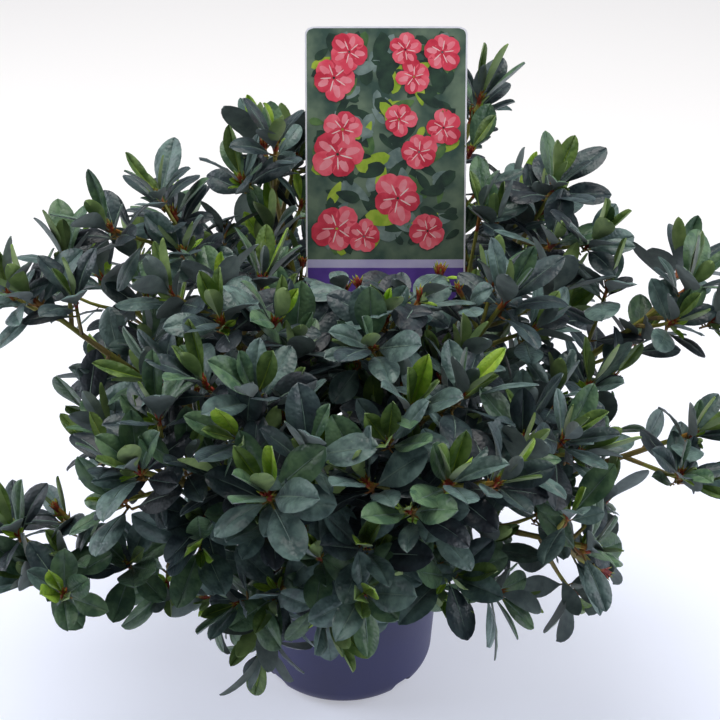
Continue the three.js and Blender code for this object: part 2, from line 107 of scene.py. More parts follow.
# Leading shoot of each mass of foliage: heading, reach from the pot's axis, height above ground.
MASSES = {
    "front_left_arch": (219, 207, 167),
    "front_left_low": (254, 128, 148),
    "front_middle": (275, 152, 206),
    "front_right_low": (297, 133, 160),
    "right_low": (321, 176, 172),
    "left_shoulder": (234, 172, 246),
    "front_left_top": (258, 164, 247),
    "front_right_top": (290, 160, 246),
    "centre_left": (252, 131, 280),
    "centre_right": (287, 124, 268),
    "right_shoulder": (320, 154, 236),
    "right_reach": (343, 205, 213),
    "crown_left_front": (230, 96, 294),
    "crown_front": (288, 78, 297),
    "crown_right_front": (333, 100, 290),
    "right_tall": (0, 198, 272),
    "crown_right_back": (25, 130, 294),
    "left_tall": (190, 172, 282),
    "crown_left": (168, 98, 310),
    "crown_back_left": (122, 88, 328),
    "crown_back_right": (50, 122, 340),
    "back_left": (152, 172, 236),
    "back_middle_left": (114, 166, 226),
    "back_middle_right": (78, 170, 232),
    "back_right": (47, 176, 224),
    "left_low": (172, 142, 205),
    "back_left_low": (122, 145, 152),
    "back_right_low": (40, 145, 155),
}
FOLIAGE = ["foliage_" + name for name in MASSES]
BOUGHS = ["bough_" + name for name in MASSES]

# A spot is placed by heading, reach and height, as above, or is given where it is seen in the
# camera's view: steps across and down, how far back it is (Y), and a small turn or move from there.
Placed = namedtuple("Placed", "heading reach height")
Seen = namedtuple("Seen", "across down back turn out up", defaults=(0, 0, 0))

# Single shoots between those tips.
OUTER_SHOOTS = {
    "far_left_tall": Seen(8, 292, -25, up=1),
    "left_upper": Seen(110, 228, -5),
    "crown_left_high": Seen(158, 192, 15, up=-1),
    "left_of_label_high": Seen(240, 158, 60, up=-13),
    "behind_label_left": Placed(113, 90, 314),
    "left_middle": Seen(155, 382, -85),
    "left_edge": Seen(110, 435, -90),
    "left_edge_low": Placed(213, 160, 222),
    "left_edge_middle": Seen(84, 412, -60),
    "left_twig": Seen(62, 520, -95, out=-2),
    "left_inner": Seen(200, 546, -126),
    "left_front_inner": Seen(205, 520, -120),
    "arch_far_left": Seen(16, 530, -118, up=-1),
    "arch_middle": Seen(70, 560, -120),
    "arch_inner": Seen(128, 562, -116, up=-2),
    "low_left": Seen(205, 598, -98),
    "low_left_side": Seen(168, 590, -105),
    "low_front_left": Seen(240, 600, -125, out=2, up=-2),
    "hanging_left": Seen(248, 618, -118, turn=4, out=-3, up=-1),
    "hanging_left_low": Seen(264, 652, -112, out=2, up=2),
    "hanging_front_right": Seen(500, 596, -110, up=1),
    "right_low_twig": Seen(575, 600, -85, up=4),
    "right_hanging": Seen(604, 578, -88, up=4),
    "right_edge": Seen(604, 430, -20),
    "right_edge_low": Seen(612, 560, -62),
    "right_small": Seen(590, 385, -40),
    "right_inner": Seen(555, 290, -5),
    "right_behind": Seen(591, 243, 15),
    "right_top": Seen(554, 186, 47),
    "right_top_front": Placed(8, 122, 292),
    "right_of_label": Placed(24, 88, 303),
    "right_tall_inner": Placed(0, 152, 274),
    "right_tall_side": Placed(354, 188, 262),
    "beside_label": Seen(484, 96, 94, turn=1, out=-1, up=-1),
    "below_label": Seen(422, 290, -55, up=-2),
    "below_label_left": Seen(345, 288, -20, up=1),
    "below_label_right": Seen(440, 272, -15, up=1),
    "centre_left_upper": Seen(295, 345, -75),
    "right_centre": Seen(460, 395, -105),
    "front_centre": Seen(365, 480, -150),
}

# Open air beside the crown and between its shoots: round windows in the camera's view, by the
# steps across and down to the middle, and the steps of the radius.
CLEARINGS = {
    "far_left_above": (12, 216, 18),
    "far_left_below": (20, 370, 28),
    "far_left_between_shoots": (28, 312, 8),
    "left_below_tall": (58, 342, 12),
    "left_between_shoots": (97, 296, 14),
    "left_beside_stem": (63, 322, 9),
    "left_low_corner": (32, 622, 22),
    "left_low_middle": (128, 640, 14),
    "left_low_side": (78, 642, 15),
    "left_below_shoots": (50, 398, 18),
    "left_above_arch": (36, 446, 36),
    "left_over_arch": (74, 488, 13),
    "left_inside_arch": (120, 536, 8),
    "left_under_arch": (30, 650, 36),
    "left_under_low": (155, 640, 28),
    "under_right_low": (530, 660, 24),
    "right_inside_low": (560, 574, 9),
    "right_low_gap": (574, 556, 9),
    "right_low_under": (582, 634, 18),
    "right_open_middle": (628, 300, 9),
    "right_of_edge": (622, 410, 14),
    "far_right_low_side": (710, 454, 13),
    "right_above_behind": (605, 172, 18),
    "right_of_top_shoot": (522, 124, 15),
    "front_right_low_side": (452, 634, 15),
    "right_under_tall": (653, 380, 27),
    "far_right_under_tall": (706, 384, 15),
    "right_under_reach": (655, 520, 40),
    "far_right_under_reach": (704, 530, 30),
    "right_low_side": (652, 572, 34),
    "right_low_corner": (655, 630, 52),
    "between_right_tops": (648, 205, 18),
    "between_right_shoots": (642, 268, 9),
    "right_of_top": (548, 88, 34),
    "below_top_shoot": (500, 156, 15),
    "left_of_label": (270, 78, 22),
    "left_of_label_middle": (226, 202, 15),
    "left_of_label_upper": (212, 148, 13),
    "above_left_upper": (72, 186, 15),
    "between_left_tops": (131, 197, 9),
    "above_left_top": (150, 106, 36),
}

# ---------------------------------------------------------------- small helpers


def mix(start, end, share):
    return start + (end - start) * share


def unit(vector):
    return vector / np.linalg.norm(vector)


def seeded(seed):
    """Random numbers between 0 and 1, by the rule that grew the solids."""
    whole = 0xFFFFFFFF
    state = seed & whole

    def draw():
        nonlocal state
        state = (state + 0x6D2B79F5) & whole
        word = ((state ^ (state >> 15)) * (state | 1)) & whole
        word ^= (word + (((word ^ (word >> 7)) * (word | 61)) & whole)) & whole
        return (word ^ (word >> 14)) / 4294967296

    return draw


def around(heading, reach, height):
    """A point at a heading and reach round the pot's axis."""
    angle = math.radians(heading)
    return np.array([reach * math.cos(angle), reach * math.sin(angle), height])


def square_to(direction):
    """Two unit vectors square to a direction and to each other."""
    other = np.array([1.0, 0.0, 0.0]) if abs(direction[2]) > 0.8 else UP
    across = unit(np.cross(direction, other))
    return across, unit(np.cross(across, direction))


def leaning(axis, tilt, turn):
    """A direction leaning by tilt from an axis, towards a turn about it, and its upper side."""
    across, away = square_to(axis)
    sideways = across * math.cos(turn) + away * math.sin(turn)
    along = axis * math.cos(tilt) + sideways * math.sin(tilt)
    return along, axis * math.sin(tilt) - sideways * math.cos(tilt)


def smooth_line(knots, steps):
    """A smooth curve through the knots, with that many steps to each stretch."""
    knots = np.asarray(knots, float)
    ends = [2 * knots[0] - knots[1]], [2 * knots[-1] - knots[-2]]
    padded = np.vstack([ends[0], knots, ends[1]])
    line = []
    for k in range(1, len(padded) - 2):
        before, here, after, beyond = padded[k - 1:k + 3]
        for share in np.arange(steps) / steps:
            line.append(0.5 * (
                2 * here + (after - before) * share
                + (2 * before - 5 * here + 4 * after - beyond) * share ** 2
                + (3 * here - before - 3 * after + beyond) * share ** 3))
    return np.array(line + [knots[-1]])


def along_line(line, share):
    """The point at a share of a line's steps, and the line's direction there."""
    place = share * (len(line) - 1)
    low = min(int(place), len(line) - 2)
    return mix(line[low], line[low + 1], place - low), unit(line[low + 1] - line[low])


# ---------------------------------------------------------------- meshes


class Heap:
    """Closed shapes gathered into one piece. Each face has one of the piece's finishes."""

    def __init__(self):
        self.points = []
        self.faces = []
        self.finishes = []
        self.count = 0

    def add(self, points, faces, finish=0):
        self.points.append(np.asarray(points, float))
        self.faces.append(np.asarray(faces) + self.count)
        self.finishes.append(np.broadcast_to(finish, len(faces)))
        self.count += len(points)

    def mesh(self, name):
        mesh = bpy.data.meshes.new(name)
        mesh.from_pydata((np.vstack(self.points) * MM).tolist(), [], np.vstack(self.faces).tolist())
        return mesh

    def piece(self, name, materials, slot_name, crease=50):
        mesh = self.mesh(name)
        for material in materials:
            mesh.materials.append(material)
        mesh.polygons.foreach_set("material_index", np.concatenate(self.finishes).astype(np.int32))
        return dress(name, mesh, crease)


def dress(name, mesh, crease):
    """Puts a mesh in the scene as a piece that rides with the plant."""
    mesh.polygons.foreach_set("use_smooth", np.ones(len(mesh.polygons), bool))
    mesh.set_sharp_from_angle(angle=math.radians(crease))
    mesh.update()
    piece = bpy.data.objects.new(name, mesh)
    bpy.context.scene.collection.objects.link(piece)
    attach(piece, BODY)
    return piece


@functools.lru_cache(maxsize=None)
def tube_faces(rings, sides):
    """Triangles of a tube whose two end points follow its rings."""
    ring, side = np.meshgrid(np.arange(rings - 1), np.arange(sides), indexing="ij")
    here = (ring * sides + side).ravel()
    beside = (ring * sides + (side + 1) % sides).ravel()
    walls = [np.c_[here, beside, beside + sides], np.c_[here, beside + sides, here + sides]]
    foot = rings * sides
    k = np.arange(sides)
    after = (k + 1) % sides
    last = (rings - 1) * sides
    caps = [
        np.c_[np.full(sides, foot), after, k],
        np.c_[np.full(sides, foot + 1), last + k, last + after],
    ]
    return np.vstack(walls + caps)


def banded(stretches, sides):
    """Finishes of a tube's triangles, from those of the stretches between its rings."""
    grid = np.broadcast_to(np.reshape(stretches, (len(stretches), -1)), (len(stretches), sides))
    return np.r_[grid.ravel(), grid.ravel(), grid[0], grid[-1]]


def tube(path, radii, sides):
    """A closed tube. A ring's radius is one number, or one for each of its sides."""
    path = np.asarray(path, float)
    tangents = np.gradient(path, axis=0)
    angles = np.arange(sides) * 2 * math.pi / sides
    across = square_to(unit(tangents[0]))[0]
    rings = []
    for centre, tangent, radius in zip(path, tangents, radii):
        tangent = unit(tangent)
        across = unit(across - tangent * (across @ tangent))
        away = np.cross(tangent, across)
        spokes = np.outer(np.cos(angles), across) + np.outer(np.sin(angles), away)
        rings.append(centre + spokes * np.reshape(radius, (-1, 1)))
    return np.vstack(rings + [path[:1], path[-1:]]), tube_faces(len(path), sides)


def turned(profile, sides):
    """A closed body turned about Z from a profile that starts and ends on the axis."""
    radii = np.array([r for r, _ in profile[1:-1]])
    heights = np.array([z for _, z in profile[1:-1]])
    angles = np.arange(sides) * 2 * math.pi / sides
    ring_x = np.outer(radii, np.cos(angles)).ravel()
    ring_y = np.outer(radii, np.sin(angles)).ravel()
    points = np.c_[ring_x, ring_y, np.repeat(heights, sides)]
    ends = [[0, 0, profile[0][1]], [0, 0, profile[-1][1]]]
    return np.vstack([points, ends]), tube_faces(len(radii), sides)


# ---------------------------------------------------------------- materials


def linear(colour):
    """An sRGB hex colour as linear red, green, blue and alpha."""
    values = [int(colour[k:k + 2], 16) / 255 for k in (1, 3, 5)]
    return [v / 12.92 if v <= 0.04045 else ((v + 0.055) / 1.055) ** 2.4 for v in values] + [1.0]


def per_metre(size):
    """Scale of a pattern whose repeat is a size in millimetres."""
    return 1 / (size * MM)


def add(tree, kind, settings=None, **links):
    """Adds a node, with its settings and with its sockets joined to other nodes' outputs."""
    node = tree.nodes.new("ShaderNode" + kind)
    for name, value in (settings or {}).items():
        if name in node.inputs:
            node.inputs[name].default_value = value
        else:
            setattr(node, name, value)
    for socket, source in links.items():
        tree.links.new(source, node.inputs[socket.replace("_", " ")])
    return node


def blank(name, **constants):
    """A new material, its node tree, its shader and the coordinates that its patterns follow."""
    material = bpy.data.materials.new(name)
    material.use_nodes = True
    tree = material.node_tree
    shader = tree.nodes["Principled BSDF"]
    for socket, value in constants.items():
        shader.inputs[socket.replace("_", " ")].default_value = value
    return material, tree, shader, add(tree, "TexCoord").outputs["Object"]


def clouds(tree, place, size, first, second, detail=3.0, low=0.36, high=0.64):
    """Colour that drifts from one tone to another in clouds of a size, and the clouds' depth."""
    noise = add(tree, "TexNoise", {"Scale": per_metre(size), "Detail": detail}, Vector=place)
    share = add(tree, "MapRange", {"From Min": low, "From Max": high}, Value=noise.outputs[0])
    tones = {"data_type": "RGBA"}
    blend = add(tree, "Mix", tones, Factor=share.outputs[0])
    blend.inputs[6].default_value = linear(first)
    blend.inputs[7].default_value = linear(second)
    return blend.outputs[2], share.outputs[0]


def finish(tree, shader, colour, depth, relief, height, roughness):
    """Joins colour, roughness and relief to the shader. The height is in millimetres."""
    rough = add(tree, "MapRange", {"To Min": roughness[0], "To Max": roughness[1]}, Value=depth)
    bump = add(tree, "Bump", {"Distance": height * MM, "Strength": 1.0}, Height=relief)
    tree.links.new(colour, shader.inputs["Base Color"])
    tree.links.new(rough.outputs[0], shader.inputs["Roughness"])
    tree.links.new(bump.outputs[0], shader.inputs["Normal"])


def leaf_skin(name, tone, drift, roughness, nap):
    """Living leaf with a waxy skin under short flat hairs: a soft grey bloom, never a hard glint.
    The net of fine veins is 1 mm across on the leaf and is drawn at 1.8 mm so that it shows."""
    material, tree, shader, place = blank(
        name, IOR=1.45, Sheen_Weight=nap, Sheen_Roughness=0.45, Specular_IOR_Level=0.45)
    shader.inputs["Sheen Tint"].default_value = linear("#b9c6cf")
    colour, depth = clouds(tree, place, 7, tone, drift, detail=6.0, low=0.40, high=0.60)
    net = add(tree, "TexVoronoi", {"Scale": per_metre(1.8), "feature": "SMOOTH_F1"}, Vector=place)
    finish(tree, shader, colour, depth, net.outputs[0], 0.34, roughness)
    return material


def leaf_back(name, tone, drift):
    """Underside of a living leaf: paler, dull and felted, so that it takes no highlight.
    The felt is finer than 0.2 mm and is drawn at 0.8 mm."""
    material, tree, shader, place = blank(name, IOR=1.4, Sheen_Weight=0.2, Sheen_Roughness=0.6)
    colour, depth = clouds(tree, place, 6, tone, drift)
    felt = add(tree, "TexNoise", {"Scale": per_metre(0.8), "Detail": 2.0}, Vector=place)
    finish(tree, shader, colour, depth, felt.outputs[0], 0.08, (0.62, 0.78))
    return material


def green_bark(name, tone, drift):
    """Skin of this year's shoots: olive going to tan, ribbed lengthwise, with a faint sheen."""
    material, tree, shader, place = blank(name, IOR=1.45)
    colour, depth = clouds(tree, place, 14, tone, drift, detail=4.0)
    ribs = add(tree, "TexNoise", {"Scale": per_metre(1.4), "Detail": 3.0}, Vector=place)
    finish(tree, shader, colour, depth, ribs.outputs[0], 0.18, (0.5, 0.66))
    return material


def old_bark():
    """Bark of older azalea wood: thin grey-brown flakes over a warmer brown, quite dull."""
    material, tree, shader, place = blank("azalea_bark_flaking", IOR=1.4)
    colour, depth = clouds(tree, place, 5, "#5a4530", "#8d7a5e", detail=6.0)
    flakes = add(tree, "TexVoronoi", {"Scale": per_metre(3.2), "feature": "DISTANCE_TO_EDGE"},
                 Vector=place)
    finish(tree, shader, colour, depth, flakes.outputs[0], 0.5, (0.75, 0.92))
    return material


def moulded_polypropylene():
    """Dark polypropylene, injection moulded: an even satin skin with a broad soft highlight.
    The tool's fine spark grain is 0.1 mm and is drawn at 0.7 mm. Dry peat dust dulls it."""
    material, tree, shader, place = blank("polypropylene_moulded", IOR=1.49)
    colour, depth = clouds(tree, place, 34, "#2c2d57", "#333560", detail=5.0)
    dust = add(tree, "TexNoise", {"Scale": per_metre(2.6), "Detail": 6.0, "Roughness": 0.7},
               Vector=place)
    specks = add(tree, "MapRange", {"From Min": 0.64, "From Max": 0.78, "To Max": 0.45},
                 Value=dust.outputs[0])
    dusty = add(tree, "Mix", {"data_type": "RGBA"}, Factor=specks.outputs[0])
    tree.links.new(colour, dusty.inputs[6])
    dusty.inputs[7].default_value = linear("#77748a")
    grain = add(tree, "TexNoise", {"Scale": per_metre(0.7), "Detail": 2.0}, Vector=place)
    finish(tree, shader, dusty.outputs[2], depth, grain.outputs[0], 0.05, (0.40, 0.52))
    return material


def moist_peat(name, tone, drift):
    """Fibrous peat, moist: near black brown and rough, with hardly any shine."""
    material, tree, shader, place = blank(name, IOR=1.33)
    colour, depth = clouds(tree, place, 3.5, tone, drift, detail=6.0)
    fibres = add(tree, "TexNoise", {"Scale": per_metre(0.9), "Detail": 6.0, "Roughness": 0.65},
                 Vector=place)
    finish(tree, shader, colour, depth, fibres.outputs[0], 0.6, (0.82, 0.97))
    return material


def printed_film(name, tone, drift, cloud=7):
    """Ink on polypropylene film, offset printed and varnished: smooth, with a thin clear gloss.
    The printing screen is 0.15 mm and is drawn at 0.9 mm as a faint unevenness."""
    material, tree, shader, place = blank(
        name, IOR=1.5, Coat_Weight=0.35, Coat_Roughness=0.12, Coat_IOR=1.5)
    colour, depth = clouds(tree, place, cloud, tone, drift)
    screen = add(tree, "TexNoise", {"Scale": per_metre(0.9), "Detail": 1.0}, Vector=place)
    finish(tree, shader, colour, depth, screen.outputs[0], 0.01, (0.34, 0.42))
    return material


def board_with_painted_glow():
    """Studio board with matt pale paint and a painted glow, an emission that lightens it though it
    is no lamp, more so at the back: no gloss, and cooler in front."""
    material, tree, shader, place = blank("board_with_painted_glow", IOR=1.4, Specular_IOR_Level=0.1)
    # Painted glow: the board gives off light of its own, stronger towards the back, in place of lamp
    # light.
    shader.inputs["Emission Color"].default_value = linear("#f6f6fa")
    parts = add(tree, "SeparateXYZ", Vector=place)
    painted_glow = add(tree, "MapRange", {
        "From Min": -0.25, "From Max": 1.3, "To Min": BOARD_PAINTED_GLOW[0], "To Max": BOARD_PAINTED_GLOW[1],
    }, Value=parts.outputs["Y"])
    tree.links.new(painted_glow.outputs[0], shader.inputs["Emission Strength"])
    back = add(tree, "MapRange", {
        "From Min": -0.25, "From Max": 0.9, "interpolation_type": "SMOOTHSTEP",
    }, Value=parts.outputs["Y"])
    tones = add(tree, "Mix", {"data_type": "RGBA"}, Factor=back.outputs[0])
    tones.inputs[6].default_value = linear("#c6ccdc")
    tones.inputs[7].default_value = linear("#c4c1bc")
    tooth = add(tree, "TexNoise", {"Scale": per_metre(1.5), "Detail": 3.0}, Vector=place)
    finish(tree, shader, tones.outputs[2], tooth.outputs[0], tooth.outputs[0], 0.02, (0.85, 0.95))
    return material


# ---------------------------------------------------------------- pot and potting mix


def wall_radius_at(height):
    heel_top = POT["foot_radius"] + POT["heel_radius"] * 0.72
    share = (height - POT["heel_radius"]) / (POT["height"] - POT["heel_radius"])
    return mix(heel_top, POT["rim_radius"] - POT["band_step"], share)


def heel_curve(inset, floor, steps):
    points = []
    for angle in np.linspace(0, math.pi / 2, steps + 1):
        reach = (wall_radius_at(POT["heel_radius"]) - POT["foot_radius"]) * math.sin(angle)
        rise = (POT["heel_radius"] - floor) * (1 - math.cos(angle))
        points.append((POT["foot_radius"] + reach - inset, floor + rise))
    return points


def rounded_corner(corner, start_turn, radius, steps=5):
    """Points of a quarter circle that rounds a corner of a profile, counter-clockwise."""
    inward = math.radians(start_turn + 45)
    centre = np.array(corner) - radius * math.sqrt(2) * np.array([math.cos(inward), math.sin(inward)])
    turns = np.radians(np.linspace(start_turn, start_turn + 90, steps + 1))
    return [(centre[0] + radius * math.cos(a), centre[1] + radius * math.sin(a)) for a in turns]


def make_pot():
    band_bottom = POT["height"] - POT["rim_band"]
    wall_top = band_bottom - POT["band_step"] / 2
    inner_rim = POT["rim_radius"] - POT["band_step"] - POT["wall"]
    levels = np.linspace(POT["heel_radius"], wall_top - 0.6, 9)[1:]
    plate = POT["floor"] - POT["plate"]
    ring = POT["foot_radius"] - POT["ring"]
    outer = [(0, plate), (ring * 0.5, plate), (ring - 1.5, plate), (ring - 0.4, 0.5), (ring, 0)]
    outer += heel_curve(0, 0, 14)
    outer += [(wall_radius_at(z), z) for z in levels]
    outer += [(wall_radius_at(wall_top) + 0.25, wall_top), (POT["rim_radius"] - 0.5, band_bottom - 0.15)]
    outer += [(POT["rim_radius"], band_bottom + 0.5)]
    outer += rounded_corner((POT["rim_radius"], POT["height"]), 0, LIP_ROUND)
    inner = rounded_corner((inner_rim, POT["height"]), 90, 0.7)
    inner += [(wall_radius_at(z) - POT["wall"], z) for z in levels[::-1]]
    inner += heel_curve(POT["wall"], POT["floor"], 8)[::-1] + [(0, POT["floor"])]
    heap = Heap()
    heap.add(*turned(outer + inner, POT["sides"]))
    pot = heap.piece("pot_moulded", [moulded_polypropylene()], "pot", POT["crease"])
    cut_notches(pot)
    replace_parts(pot, "pot")


def cut_notches(pot):
    """Cuts the drainage notches, arched and round, through the ring that the pot stands on."""
    heap = Heap()
    sides = 28
    angles = np.arange(sides) * 2 * math.pi / sides
    wide = POT["notch_width"] / 2
    high = POT["notch_height"]
    oval = ((np.cos(angles) / wide) ** 4 + (np.sin(angles) / high) ** 4) ** -0.25
    start = POT["foot_radius"] - POT["notch_start"]
    for k in range(POT["notches"]):
        heading = POT["notch_turn"] + k * 360 / POT["notches"]
        path = [around(heading, start + reach, 0) for reach in np.linspace(0, POT["notch_length"], 5)]
        heap.add(*tube(path, [oval] * len(path), sides))
    tool = bpy.data.objects.new("notches", heap.mesh("notches"))
    bpy.context.scene.collection.objects.link(tool)
    cut = pot.modifiers.new("notches", "BOOLEAN")
    cut.object = tool
    cut.solver = "EXACT"
    shaped = bpy.data.meshes.new_from_object(pot.evaluated_get(bpy.context.evaluated_depsgraph_get()))
    pot.modifiers.remove(cut)
    pot.data = shaped
    shaped.set_sharp_from_angle(angle=math.radians(POT["crease"]))
    bpy.data.objects.remove(tool)


def chunk_shape():
    """Corners and faces of a lump with twenty faces."""
    ball = bmesh.new()
    bmesh.ops.create_icosphere(ball, subdivisions=1, radius=1.0)
    points = np.array([v.co[:] for v in ball.verts])
    faces = np.array([[v.index for v in f.verts] for f in ball.faces])
    ball.free()
    return points, faces


def make_potting_mix():
    """The mix fills the pot, heaps up towards the stem and has loose crumbs on top."""
    random = np.random.default_rng(41)
    edge = wall_radius_at(MIX_TOP) - POT["wall"] - 0.7
    profile = [(0, POT["floor"] + 0.3)] + heel_curve(POT["wall"] + 0.3, POT["floor"] + 0.3, 6)
    profile += [(edge, MIX_TOP - 2.5)]
    profile += [(r, MIX_TOP + MIX_CROWN * (1 - r / edge) ** 0.8) for r in np.linspace(edge - 1.5, 2, 22)]
    profile += [(0, MIX_TOP + MIX_CROWN)]
    points, faces = turned(profile, 72)
    top = (points[:, 2] > MIX_TOP - 0.5) & (np.hypot(points[:, 0], points[:, 1]) < edge - 2)
    points[top, 2] += random.normal(0, 0.9, top.sum())
    bulk = Heap()
    bulk.add(points, faces)
    peat = moist_peat("peat_moist", "#17120e", "#33271d")
    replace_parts(bulk.piece("potting_mix_heap", [peat], "potting_mix", crease=80), "potting_mix")
    corners, lump = chunk_shape()
    crumbs = Heap()
    for k in range(CRUMBS):
        reach = (edge - 3.5) * math.sqrt(random.random())
        size = random.choice([1.1, 1.7, 2.6], p=[0.5, 0.35, 0.15])
        stretch = size * random.uniform(0.6, 1.5, 3)
        shape = corners * random.uniform(0.7, 1.2, (len(corners), 1)) * stretch
        spin = np.linalg.qr(random.normal(size=(3, 3)))[0]
        spin *= np.sign(np.linalg.det(spin))
        level = MIX_TOP + MIX_CROWN * (1 - reach / edge) ** 0.8
        crumbs.add(shape @ spin.T + around(random.uniform(0, 360), reach, level), lump, k % 3 == 0)
    peat = moist_peat("peat_crumbs", "#1d1712", "#3b2d20")
    bark = moist_peat("bark_fines", "#33221a", "#5b4230")
    crumbs.piece("potting_mix_crumbs", [peat, bark], "potting_mix", crease=30)


# ---------------------------------------------------------------- label

label_up = np.array([0, math.sin(LABEL["lean"]), math.cos(LABEL["lean"])])
label_out = np.array([0, -math.cos(LABEL["lean"]), math.sin(LABEL["lean"])])
label_foot = np.array([LABEL["foot"][0], LABEL["foot"][1], MIX_TOP], float)
label_top = (LABEL["top_level"] - MIX_TOP) / label_up[2]
card_bottom = label_top - LABEL["height"]


def on_card(across, up, out):
    """A place on the label: across the card, up it from the mix, and out from its middle."""
    across, up, out = np.broadcast_arrays(
        *(np.asarray(value, float) for value in (across, up, out)))
    bowed = out - LABEL["bow"] * (across / (LABEL["width"] / 2)) ** 2
    return (label_foot + across[..., None] * np.array([1.0, 0, 0])
            + up[..., None] * label_up + bowed[..., None] * label_out)


def card_half_width(up, inset=0.0):
    """Half the width of the card and its peg at a level, with rounded corners on the card."""
    half = LABEL["width"] / 2 - inset
    peg = LABEL["peg_width"] / 2
    if up < card_bottom - LABEL["peg_shoulder"]:
        return max(0.3, min(peg, up + LABEL["peg_depth"] + 0.3))
    if up < card_bottom + inset:
        return mix(peg, peg * 3, (up - card_bottom + LABEL["peg_shoulder"]) / LABEL["peg_shoulder"])
    corner = LABEL["corner"] - inset
    from_edge = min(up - card_bottom - inset, label_top - inset - up)
    short = corner - math.sqrt(max(corner ** 2 - max(corner - from_edge, 0) ** 2, 0))
    return half - short


def sheet_between(levels, inset, back, front, columns=16):
    """A thin closed sheet in the card's plane, as wide as the card at each level."""
    shares = np.linspace(-1, 1, columns + 1)
    widths = np.array([card_half_width(up, inset) for up in levels])
    rows = len(levels)
    across = np.outer(widths, shares)
    up = np.repeat(np.array(levels)[:, None], columns + 1, axis=1)
    faces = np.vstack([on_card(across, up, out).reshape(-1, 3) for out in (front, back)])
    return faces, sheet_faces(rows, columns + 1)


@functools.lru_cache(maxsize=None)
def sheet_faces(rows, columns):
    """Triangles of a closed sheet: its front grid, its back grid and the edge round them."""
    row, column = np.meshgrid(np.arange(rows - 1), np.arange(columns - 1), indexing="ij")
    a = (row * columns + column).ravel()
    front = np.vstack([np.c_[a, a + 1, a + columns + 1], np.c_[a, a + columns + 1, a + columns]])
    total = rows * columns
    back = front[:, ::-1] + total
    rim = ([k for k in range(columns)]
           + [r * columns + columns - 1 for r in range(1, rows)]
           + [(rows - 1) * columns + k for k in range(columns - 2, -1, -1)]
           + [r * columns for r in range(rows - 2, 0, -1)])
    here = np.array(rim)
    after = np.roll(here, -1)
    edge = np.vstack([np.c_[here, here + total, after + total], np.c_[here, after + total, after]])
    return np.vstack([front, back, edge])


def patch(outline, middle, height):
    """A flat printed shape on the card, lying on the ground colour. The outline runs round it."""
    outline = np.asarray(outline, float)
    ink_base = LABEL["thickness"] / 2 + 0.02
    count = len(outline)
    points = np.vstack([
        on_card(outline[:, 0], outline[:, 1], height), on_card(*middle, height)[None],
        on_card(outline[:, 0], outline[:, 1], ink_base), on_card(*middle, ink_base)[None],
    ])
    here = np.arange(count)
    after = (here + 1) % count
    below = count + 1
    faces = np.vstack([
        np.c_[here, after, np.full(count, count)],
        np.c_[after + below, here + below, np.full(count, count + below)],
        np.c_[here, here + below, after + below], np.c_[here, after + below, after],
    ])
    return points, faces


def petal_outline(centre, turn, length, width, start=0.12, steps=9):
    """Outline of a petal or leaf that widens past its middle, on the card's plane."""
    shares = np.linspace(start, 1, steps)
    half = width / 2 * (shares / 0.62) ** 0.9 * (np.maximum(1 - shares, 0.0) / 0.38) ** 0.55
    forward = np.array([math.cos(turn), math.sin(turn)])
    sideways = np.array([-math.sin(turn), math.cos(turn)])
    spine = centre + np.outer(shares * length, forward)
    right = spine - half[:, None] * sideways
    left = (spine + half[:, None] * sideways)[-2::-1]
    return np.vstack([right, left]), centre + forward * length * 0.6


PICTURE_FOOT = 36                   # how far above the card's foot the printed flowers start
LATTICE = dict(rows=6, columns=3, across=30, up=22, shift=8, play=12)
PRINTED_LEAVES = 210


def in_picture(across, up, room):
    """A place on the card, moved so that its room lies inside the printed picture."""
    side = LABEL["width"] / 2 - 2 - room
    return np.array([np.clip(across, -side, side),
                     np.clip(up, card_bottom + PICTURE_FOOT + room, label_top - 2 - room)])


def blossom_places():
    """Middles, sizes and turns of the blossoms: rows of an offset lattice with much play."""
    random = seeded(907)
    places = []
    foot = card_bottom + PICTURE_FOOT + LATTICE["play"]
    for row in range(LATTICE["rows"]):
        shift = LATTICE["shift"] if row % 2 else -LATTICE["shift"]
        for column in range(LATTICE["columns"]):
            across = (column - 1) * LATTICE["across"] + shift + LATTICE["play"] * (random() - 0.5)
            up = foot + row * LATTICE["up"] + LATTICE["play"] * (random() - 0.5)
            size = mix(11.0, 17.0, random())
            turn = random() * 2 * math.pi
            if random() > 0.3:
                places.append((in_picture(across, up, size), size, turn))
    return places


def print_leaves(heaps, base):
    """Leaves of the print: dark ones all over, pale and yellow ones among them."""
    random = seeded(311)
    rise = base
    for k in range(PRINTED_LEAVES):
        length = mix(9, 21, random())
        side = LABEL["width"] / 2
        centre = in_picture(mix(-side, side, random()),
                            mix(card_bottom + PICTURE_FOOT, label_top, random()), length)
        kind = ("dark", "grey", "dark", "leaf", "grey", "dark", "yellow", "dark")[k % 8]
        heaps[kind].add(*patch(*petal_outline(
            centre, random() * 2 * math.pi, length, length * mix(0.32, 0.5, random()), 0.04), rise))
        rise += 0.001
    return rise


def print_blossoms(heaps, base):
    """Five-petalled blossoms, each with paler streaks, a deep throat and pale stamens."""
    random = seeded(55)
    rise = base
    for centre, size, turn in blossom_places():
        for k in range(5):
            heading = turn + k * 2 * math.pi / 5 + 0.3 * (random() - 0.5)
            tone = "coral" if (k + len(heaps["coral"].points)) % 3 else "deep"
            length = size * mix(0.8, 1.0, random())
            width = size * mix(0.7, 0.98, random())
            heaps[tone].add(*patch(*petal_outline(centre, heading, length, width), rise))
            rise += 0.001
            streak = petal_outline(centre, heading + 0.12, length * 0.86, size * 0.26, 0.35)
            heaps["blush"].add(*patch(*streak, rise + 0.002))
        rise += 0.006
        for k in range(5):
            heading = turn + (k + 0.5) * 2 * math.pi / 5
            heaps["deep"].add(*patch(*petal_outline(centre, heading, size * 0.4, size * 0.2), rise))
            heaps["stamen"].add(*patch(*petal_outline(
                centre, heading + 0.3, size * 0.55, size * 0.05, 0.2), rise + 0.004))
        rise += 0.006
    return rise


